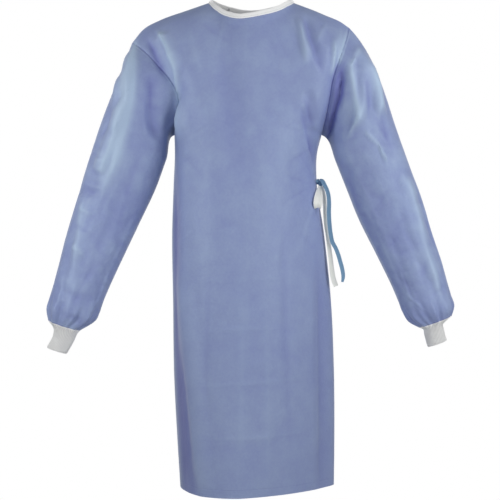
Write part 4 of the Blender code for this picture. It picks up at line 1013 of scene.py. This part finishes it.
BLUE_TAIL = (
    (0.155, -0.019, -0.431, 0.006), (0.16, -0.02, -0.4265, 0.009), (0.1675, -0.02, -0.4275, 0.01),
    (0.175, -0.021, -0.439, 0.01), (0.1822, -0.024, -0.457, 0.01), (0.1846, -0.0275, -0.478, 0.01),
    (0.1842, -0.03, -0.504, 0.01), (0.1856, -0.031, -0.532, 0.01), (0.1885, -0.031, -0.556, 0.01),
    (0.1925, -0.031, -0.574, 0.0098), (0.2, -0.03, -0.588, 0.0096), (0.206, -0.0305, -0.603, 0.0098),
    (0.2112, -0.031, -0.621, 0.01), (0.2165, -0.031, -0.642, 0.0098), (0.218, -0.031, -0.656, 0.009),
    (0.216, -0.031, -0.669, 0.006),
)
WHITE_TAIL = (
    (0.1685, -0.012, -0.44, 0.007), (0.1725, -0.016, -0.46, 0.01), (0.1748, -0.019, -0.485, 0.011),
    (0.1755, -0.0215, -0.505, 0.011), (0.1775, -0.0225, -0.532, 0.0115), (0.1822, -0.0225, -0.562, 0.012),
    (0.1852, -0.0225, -0.586, 0.012), (0.189, -0.0225, -0.616, 0.012), (0.1922, -0.0225, -0.643, 0.0125),
    (0.196, -0.0225, -0.664, 0.013), (0.202, -0.0225, -0.679, 0.0125),
)
WHITE_LOOP = (
    (0.1635, -0.017, -0.44, 0.006), (0.158, -0.033, -0.454, 0.009), (0.1545, -0.045, -0.47, 0.013),
    (0.1535, -0.05, -0.4835, 0.015), (0.157, -0.043, -0.493, 0.015), (0.1615, -0.034, -0.484, 0.013),
    (0.164, -0.03, -0.47, 0.011), (0.1655, -0.023, -0.456, 0.008), (0.1665, -0.015, -0.445, 0.005),
)

blue_tail = hanging_strip("tie_blue_tail_strip", BLUE_TAIL, 0.35, 0.12)
white_tail = hanging_strip("tie_white_tail_strip", WHITE_TAIL, -0.30, 0.10)
white_loop = hanging_strip("tie_white_loop_strip", WHITE_LOOP, 0.0, 0.08)

# %% The belt round the hip
BELT_WIDTH = 0.010
BELT_LIFT = LAP_OFFSET + 0.0015
BELT_CLOSE = 0.0020       # how far it stands off the cloth before the lap
BELT_END = 0.0033         # how far it stands off at the knot
BELT_CUP = 0.04
COARSE = 4                # fine columns to one column of the solids
FREE_COLUMN = 15          # where the belt starts and where it comes down, in columns of the solids

columns = np.arange(FREE_COLUMN * COARSE, -1, -1)
share = smooth_step((columns / COARSE - 1.0) / (FREE_COLUMN - 4.0))
lift = mix(BELT_CLOSE, BELT_LIFT, share)[:, None]
behind = back[SKIRT_STEPS, columns] + normals["back"][SKIRT_STEPS, columns] * lift
ahead_columns = [-2, -3, -4, -5]
lift = np.linspace(BELT_CLOSE, BELT_END, len(ahead_columns))[:, None]
ahead = front[SKIRT_STEPS, ahead_columns] + normals["front"][SKIRT_STEPS, ahead_columns] * lift
points = np.concatenate((behind, ahead))
up = np.broadcast_to((0.0, 0.0, 1.0), points.shape)
belt = flat_strip("tie_blue_belt_strip", points, np.full(len(points), BELT_WIDTH), up, BELT_CUP)

# %% [markdown]
# ## The knot
#
# A knot is one strand that passes over and under itself. The simplest closed line that does this
# is the three-lobed one that mathematicians call a trefoil. A tube swept along it looks like a tie
# pulled tight, and its section is wider than it is thick, because the strip is folded up in there.

# %% Sweep a strand along a three-lobed line
KNOT_CENTRE = np.array((0.1655, -0.008, -0.4335))
KNOT_SIZE = 0.0019
STRAND_WIDE, STRAND_THICK = 0.0028, 0.0016
STRAND_SIDES = 12

t = np.linspace(0.0, 2.0 * np.pi, 121)
lobes = np.stack((np.sin(t) + 2.0 * np.sin(2.0 * t),
                  -1.15 * np.sin(3.0 * t),
                  np.cos(t) - 2.0 * np.cos(2.0 * t)), axis=1)
strand = KNOT_CENTRE + lobes * KNOT_SIZE
run = unit(np.gradient(strand, axis=0))
run[0] = run[-1] = unit(run[0] + run[-1])
wide = unit(np.cross(run, np.array((0.0, -1.0, 0.0))))
thick = unit(np.cross(run, wide))
angle = np.linspace(0.0, 2.0 * np.pi, STRAND_SIDES + 1)
grid = (strand[None] + np.cos(angle)[:, None, None] * wide[None] * STRAND_WIDE
        + np.sin(angle)[:, None, None] * thick[None] * STRAND_THICK)
grid[-1] = grid[0]
grid[:, -1] = grid[:, 0]
facing = grid_normals(grid)
if np.sum(facing * (grid - strand[None])) < 0.0:
    grid, facing = grid[::-1], -facing[::-1]
knot = cloth_sheet("tie_knot_strand", grid, facing, STRIP_WALL, {"edge": np.full(grid.shape[:2], 0.01)})

# %% [markdown]
# ## Shader sums that read as sums
#
# A procedural material is mostly arithmetic: a distance, less an offset, times a depth. Node by
# node that takes pages, so one small class wraps a node's output and lets Python's own signs add
# the nodes. A `Wire` is a value that changes over the surface, and `node` adds any other kind.

# %% A socket that can be used in sums
class Wire:
    """The output of a node, which can be used in sums with numbers and other outputs."""

    def __init__(self, tree, socket=None):
        self.tree = tree
        self.socket = socket

    def node(self, kind, inputs, output=0, **settings):
        """Adds a node with its settings and inputs, and returns one of its outputs."""
        added = self.tree.nodes.new(kind)
        for name, value in settings.items():
            setattr(added, name, value)
        for key, value in inputs.items():
            if isinstance(value, Wire):
                self.tree.links.new(value.socket, added.inputs[key])
            else:
                added.inputs[key].default_value = value
        return Wire(self.tree, added.outputs[output])

    def maths(self, operation, *values, clamp=False):
        """Adds a Math node."""
        return self.node("ShaderNodeMath", dict(enumerate(values)), operation=operation, use_clamp=clamp)

    def __add__(self, other):
        return self.maths("ADD", self, other)

    def __sub__(self, other):
        return self.maths("SUBTRACT", self, other)

    def __rsub__(self, other):
        return self.maths("SUBTRACT", other, self)

    def __mul__(self, other):
        return self.maths("MULTIPLY", self, other)

    def __truediv__(self, other):
        return self.maths("DIVIDE", self, other)

    __radd__ = __add__
    __rmul__ = __mul__

    def size(self):
        """The value without its sign."""
        return self.maths("ABSOLUTE", self)

    def part(self):
        """What is left of the value after its whole number."""
        return self.maths("FRACT", self)

    def held(self):
        """The value kept between 0 and 1."""
        return self.maths("ADD", self, 0.0, clamp=True)

    def stripe(self, centre, width):
        """1 at the centre, falling to 0 at the given distance from it."""
        return (1.0 - (self - centre).size() / width).held()

    def stretched(self, x, y, z=1.0):
        """A vector scaled along its three axes."""
        return self.node("ShaderNodeVectorMath", {0: self, 1: (x, y, z)}, operation="MULTIPLY")

    def colours(self, low, high):
        """A colour between two others, or two colour wires, by this share."""
        ends = [end if isinstance(end, Wire) else (*end, 1.0) for end in (low, high)]
        return self.node("ShaderNodeMix", {0: self, 6: ends[0], 7: ends[1]}, output=2, data_type="RGBA")

    def noise(self, scale, detail=2.0, bend=0.0):
        """Soft noise over a vector, between 0 and 1."""
        inputs = {"Vector": self, "Scale": scale, "Detail": detail, "Distortion": bend}
        return self.node("ShaderNodeTexNoise", inputs)


def cloth_material(name, roughness, sheen):
    """A new material, its surface node, a wire to start from, the UV map and the position."""
    material = bpy.data.materials.new(name)
    material.use_nodes = True
    surface = material.node_tree.nodes["Principled BSDF"]
    surface.inputs["Roughness"].default_value = roughness
    surface.inputs["Sheen Weight"].default_value = sheen
    surface.inputs["Sheen Roughness"].default_value = 0.4
    surface.inputs["Sheen Tint"].default_value = (0.72, 0.90, 1.0, 1.0)
    surface.inputs["Specular IOR Level"].default_value = 0.35
    surface.inputs["Specular Tint"].default_value = (0.72, 0.92, 1.0, 1.0)
    start = Wire(material.node_tree)
    uv = start.node("ShaderNodeUVMap", {}, uv_map="cloth")
    place = start.node("ShaderNodeTexCoord", {}, output="Object")
    return material, surface, start, uv, place


def value_of(start, name):
    """A value that was stored at the mesh's points."""
    return start.node("ShaderNodeAttribute", {}, output="Fac", attribute_name=name)


def finish_material(surface, start, colour, height):
    """Joins the colour, and the relief in metres, to the surface."""
    bump = start.node("ShaderNodeBump", {"Height": height, "Distance": 1.0})
    start.tree.links.new(colour.socket, surface.inputs["Base Color"])
    start.tree.links.new(bump.socket, surface.inputs["Normal"])
    print("material nodes:", len(start.tree.nodes))


print("beside sums, a socket knows:", *[name for name in vars(Wire) if not name.startswith("__")])

# %% [markdown]
# ## Blue bonded cloth
#
# Bonded cloth has no threads. It is a mat of fine fibres, pressed together at a grid of small
# points. So the relief is uneven fibre noise with a grid of shallow dots, and the colour clouds
# gently where the mat is thicker or thinner. Creases get a painted highlight on their crests and
# painted shade in their troughs. A seam is a groove with painted shade in it, a painted highlight
# along its edge and a row of short welds beside it, and the hem has a line where the fold was welded.

# %% Blue cloth
BLUE_DEEP = (0.250, 0.304, 0.556)
BLUE_LIGHT = (0.315, 0.388, 0.602)
# Colour of the fibres' paler grain, and of the painted highlight on crease crests and seam edges.
BLUE_FIBRES_AND_PAINTED_HIGHLIGHT = (0.420, 0.535, 0.720)
# Colour of the welds and the hem's line, and of the painted shade in seam grooves and crease troughs.
BLUE_WELDS_AND_PAINTED_SHADE = (0.165, 0.185, 0.470)

looks = {}
looks["blue_cloth"], surface, start, uv, place = cloth_material("blue bonded cloth", 0.44, 0.20)
crest = value_of(start, "crest")
seam_gap = value_of(start, "seam_gap")
hem_gap = value_of(start, "hem_gap")
clouds = place.noise(9.0, 3.0) * 0.45 + place.noise(34.0, 2.0) * 0.25 + place.noise(170.0, 3.0) * 0.30
fibres = uv.noise(1500.0, 3.0, 1.4)
turned = uv.node("ShaderNodeVectorRotate", {"Vector": uv, "Angle": 0.785}, rotation_type="Z_AXIS")
bonds = turned.node("ShaderNodeTexVoronoi", {"Vector": turned, "Scale": 520.0, "Randomness": 0.0})
dots = bonds.stripe(0.0, 0.34)
run_along = uv.node("ShaderNodeSeparateXYZ", {0: uv}) + uv.node("ShaderNodeSeparateXYZ", {0: uv}, output=1)
dashes = (run_along / 0.0042).part().stripe(0.5, 0.42)
# Painted shade darkens the cloth in this groove beside the seam; the groove is also real relief.
groove = seam_gap.stripe(0.0, 0.0030)
# Painted highlight: a paler line just beside the seam, where its edge would catch the light.
painted_seam_highlight = seam_gap.stripe(0.0045, 0.0025)
welds = seam_gap.stripe(0.0062, 0.0011) * dashes
hem_line = hem_gap.stripe(0.0185, 0.0010) * (0.55 + dashes * 0.45)
colour = (clouds * 2.4 - 0.70).held().colours(BLUE_DEEP, BLUE_LIGHT)
# Painted highlight on the crests of the creases and along the seam's edge, with the fibres' grain.
colour = (crest * 0.135 + painted_seam_highlight * 0.30 + (fibres - 0.5) * 0.10).held().colours(colour, BLUE_FIBRES_AND_PAINTED_HIGHLIGHT)
# Painted shade in the seam's groove and in the creases' troughs; the welds and the hem's welded line are
# real marks.
colour = (groove * 0.55 + welds * 0.45 + hem_line * 0.40 + crest * -0.15).held().colours(colour, BLUE_WELDS_AND_PAINTED_SHADE)
relief = (fibres * 0.00006 - dots * 0.00005 + place.noise(140.0, 2.0) * 0.0005
          - groove * 0.0005 - welds * 0.0003 - hem_line * 0.0004)
finish_material(surface, start, colour, relief)

# %% [markdown]
# ## White knit, binding and ties
#
# The knit's ribs are in the mesh, so its material only adds the small stitches and darkens the
# channels, where less light gets in. The binding has one row of stitches just above the cloth.
# The ties are cut from bonded cloth as well: the fibres run along them, and the cut edges show as
# fine pale lines.

# %% Knit cuffs
looks["white_knit"], surface, start, uv, _ = cloth_material("rib knit", 0.80, 0.30)
rib = value_of(start, "rib")
seam_gap = value_of(start, "seam_gap")
stitch_rows = (uv.node("ShaderNodeSeparateXYZ", {0: uv}, output=1) / 0.0015).part().stripe(0.5, 0.5)
fuzz = uv.noise(1200.0, 3.0, 0.8)
colour = (rib * 0.75 + 0.12 + fuzz * 0.15).held().colours((0.56, 0.56, 0.57), (0.86, 0.86, 0.85))
colour = seam_gap.stripe(0.0018, 0.0030).colours(colour, (0.95, 0.95, 0.95))
finish_material(surface, start, colour, stitch_rows * rib * 0.00025 + fuzz * 0.00010)

# %% Neck binding
looks["white_binding"], surface, start, uv, place = cloth_material("binding strip", 0.70, 0.20)
height_up = value_of(start, "height")
along_neck = uv.node("ShaderNodeSeparateXYZ", {0: uv})
stitches = height_up.stripe(0.0026, 0.0008) * (along_neck / 0.0034).part().stripe(0.5, 0.40)
weave = uv.noise(1300.0, 2.0, 0.6)
colour = (weave * 0.5 + place.noise(60.0) * 0.5).colours((0.93, 0.93, 0.94), (1.0, 1.0, 0.99))
colour = stitches.colours(colour, (0.45, 0.45, 0.48))
finish_material(surface, start, colour, weave * 0.00008 + place.noise(220.0) * 0.0005 - stitches * 0.0004)

# %% Ties
for name, low, high, cut_edge in (
    ("blue_tie", (0.155, 0.285, 0.455), (0.205, 0.35, 0.52), (0.3, 0.45, 0.6)),
    ("white_tie", (0.82, 0.83, 0.78), (0.95, 0.96, 0.91), (0.96, 0.96, 0.94)),
):
    looks[name], surface, start, uv, place = cloth_material(name.replace("_", " "), 0.62, 0.20)
    lengthwise = uv.stretched(420.0, 2400.0).noise(1.0, 3.0)
    edge = value_of(start, "edge").stripe(0.0, 0.0007)
    colour = (lengthwise * 0.6 + place.noise(90.0) * 0.4).colours(low, high)
    colour = (edge * 0.7).colours(colour, cut_edge)
    finish_material(surface, start, colour, lengthwise * 0.00010 + place.noise(260.0) * 0.0003)

# %% [markdown]
# ## Join everything to the frame
#
# Each piece takes the place of one solid, gets its material, and prints what cloth it is: how large
# the flat cut was before it was sewn, and how it is held. The cut of a panel or sleeve is measured on
# the sheet itself, along its rows and columns, so it stays true if the shapes change. The cuffs, the
# binding and the ties are stretched, folded or knotted, so their cuts are given.

# %% Put every piece in place and print what it is
def flat_cut(grid):
    """Width, length and area of the flat piece that a grid of cloth was bent from."""
    across, up = lengths_along(grid, 1), lengths_along(grid, 0)
    width, length = float(across[:, -1].max()), float(up[-1].max())
    sides = np.cross(grid[1:, 1:] - grid[:-1, :-1], grid[1:, :-1] - grid[:-1, 1:])
    area = float(np.linalg.norm(sides, axis=2).sum()) / 2.0
    return width, length, min(area, width * length)


pieces = (
    (front_panel, "front_panel", "blue_cloth", "hung", flat_cut(front)),
    (back_left, "back_panel_left", "blue_cloth", "hung", flat_cut(back[:, :inner_edge + 1])),
    (back_right, "back_panel_right", "blue_cloth", "hung", flat_cut(lapped)),
    (sleeves["right"], "sleeve_right", "blue_cloth", "hung", flat_cut(grids["sleeve_right"])),
    (sleeves["left"], "sleeve_left", "blue_cloth", "hung", flat_cut(grids["sleeve_left"])),
    (cuffs["right"], "cuff_right", "white_knit", "gathered", (0.118, 0.064, 0.0075)),
    (cuffs["left"], "cuff_left", "white_knit", "gathered", (0.112, 0.058, 0.0065)),
    (binding, "neck_binding", "white_binding", "folded", (0.440, 0.025, 0.0100)),
    (belt, "tie_blue_belt", "blue_tie", "hung", (0.235, BELT_WIDTH, 0.235 * BELT_WIDTH)),
    (blue_tail, "tie_blue_tail", "blue_tie", "hung", (0.250, 0.010, 0.0025)),
    (knot, "tie_knot", "blue_tie", "folded", (0.070, 0.0135, 0.00090)),
    (white_loop, "tie_white_loop", "white_tie", "folded", (0.125, 0.014, 0.00155)),
    (white_tail, "tie_white_tail", "white_tie", "hung", (0.255, 0.012, 0.0030)),
)
for piece, node, look, held, (width, length, area) in pieces:
    piece.data.materials.append(looks[look])
    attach(piece, "root")
    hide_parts(node)
    print(f"{node}: cut {1000 * width:.0f} by {1000 * length:.0f} mm, {area:.4f} square metres, {held}")

# %% [markdown]
# ## Floor, light and camera
#
# The gown is shown as if a wearer stood in it, over a pale floor. The light is soft. Large lamps
# on both sides make the outer halves of the sleeves lighter than the chest, others farther off in
# front fill the rest, and one high above lights the shoulders. The room itself is dim, so that it
# doesn't wash out the folds, and it is white only behind the gown, as a paper backdrop is. The
# camera looks straight ahead from half the gown's height, as in the photograph.

# %% Floor
FLOOR_Z = -1.60
bpy.ops.mesh.primitive_plane_add(size=3.6, location=(0.0, 0.0, FLOOR_Z))
floor = bpy.context.object
floor.name = "floor"
floor_material, surface = cloth_material("floor_paint", 0.9, 0.0)[:2]
surface.inputs["Base Color"].default_value = (0.90, 0.90, 0.90, 1.0)
floor.data.materials.append(floor_material)
floor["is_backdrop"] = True
print("floor at", FLOOR_Z)

# %% Room light
ROOM_DIM = 0.08           # brightness of the room next to the backdrop's 1

world = bpy.data.worlds.new("white room")
bpy.context.scene.world = world
world.use_nodes = True
sky = Wire(world.node_tree)
direction = sky.node("ShaderNodeTexCoord", {}, output="Generated")
height = sky.node("ShaderNodeSeparateXYZ", {0: direction}, output=2)
behind = sky.node("ShaderNodeSeparateXYZ", {0: direction}, output=1)
level = (2.2 - height.size() * 4.0).held()
backdrop = level * (behind * 4.0 - 2.4).held()
brightness = ROOM_DIM + backdrop * (1.0 - ROOM_DIM)
background = world.node_tree.nodes["Background"]
background.inputs["Color"].default_value = (1.0, 1.0, 1.0, 1.0)
world.node_tree.links.new(brightness.socket, background.inputs["Strength"])
print("world nodes:", len(world.node_tree.nodes))

# %% Lamps
LAMP_COLUMNS = ("name", "place", "aim", "size", "watts")
LAMPS = (
    ("left_low", (-1.15, -1.00, -0.35), (-0.1, 0.0, -0.45), 0.5, 7.3),
    ("left_side", (-1.15, -0.2, 0.1), (-0.1, 0.0, -0.45), 0.5, 2.7),
    ("right_low", (1.15, -1.00, -0.35), (0.1, 0.0, -0.45), 0.5, 5.7),
    ("right_high", (1.15, -0.55, 0.5), (0.1, 0.0, -0.45), 0.5, 6.2),
    ("right_far", (1.9, -1.33, -1.00), (0.0, 0.0, -0.45), 0.9, 3.9),
    ("front_high", (0.0, -2.32, 0.17), (0.0, 0.0, -0.45), 0.9, 6.6),
    ("front_low", (0.0, -2.32, -1.07), (0.0, 0.0, -0.45), 0.9, 3.0),
    ("top", (0.0, -0.3, 2.2), (0.0, 0.0, -0.45), 1.2, 6.2),
)
for row in LAMPS:
    wanted = dict(zip(LAMP_COLUMNS, row))
    ray = Vector(wanted["aim"]) - Vector(wanted["place"])
    turn = ray.to_track_quat("-Z", "Y").to_euler()
    bpy.ops.object.light_add(type="AREA", location=wanted["place"], rotation=turn)
    lamp = bpy.context.object
    lamp.name = wanted["name"]
    lamp.data.size = wanted["size"]
    lamp.data.energy = wanted["watts"]
    print(lamp.name, "lamp of", wanted["watts"], "watts")

# %% Camera
CAMERA_PLACE = (-0.0031, -2.70, -0.5928)
bpy.ops.object.camera_add(location=CAMERA_PLACE, rotation=(np.radians(90.0), 0.0, 0.0))
camera = bpy.context.object
camera.data.lens = 81.0
camera.data.sensor_width = 36.0
bpy.context.scene.camera = camera
bpy.context.scene.view_settings.view_transform = "Standard"
print("camera at", CAMERA_PLACE)

# %% Print how far the pieces reach
low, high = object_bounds()
print("pieces from", [round(v, 4) for v in low], "to", [round(v, 4) for v in high])
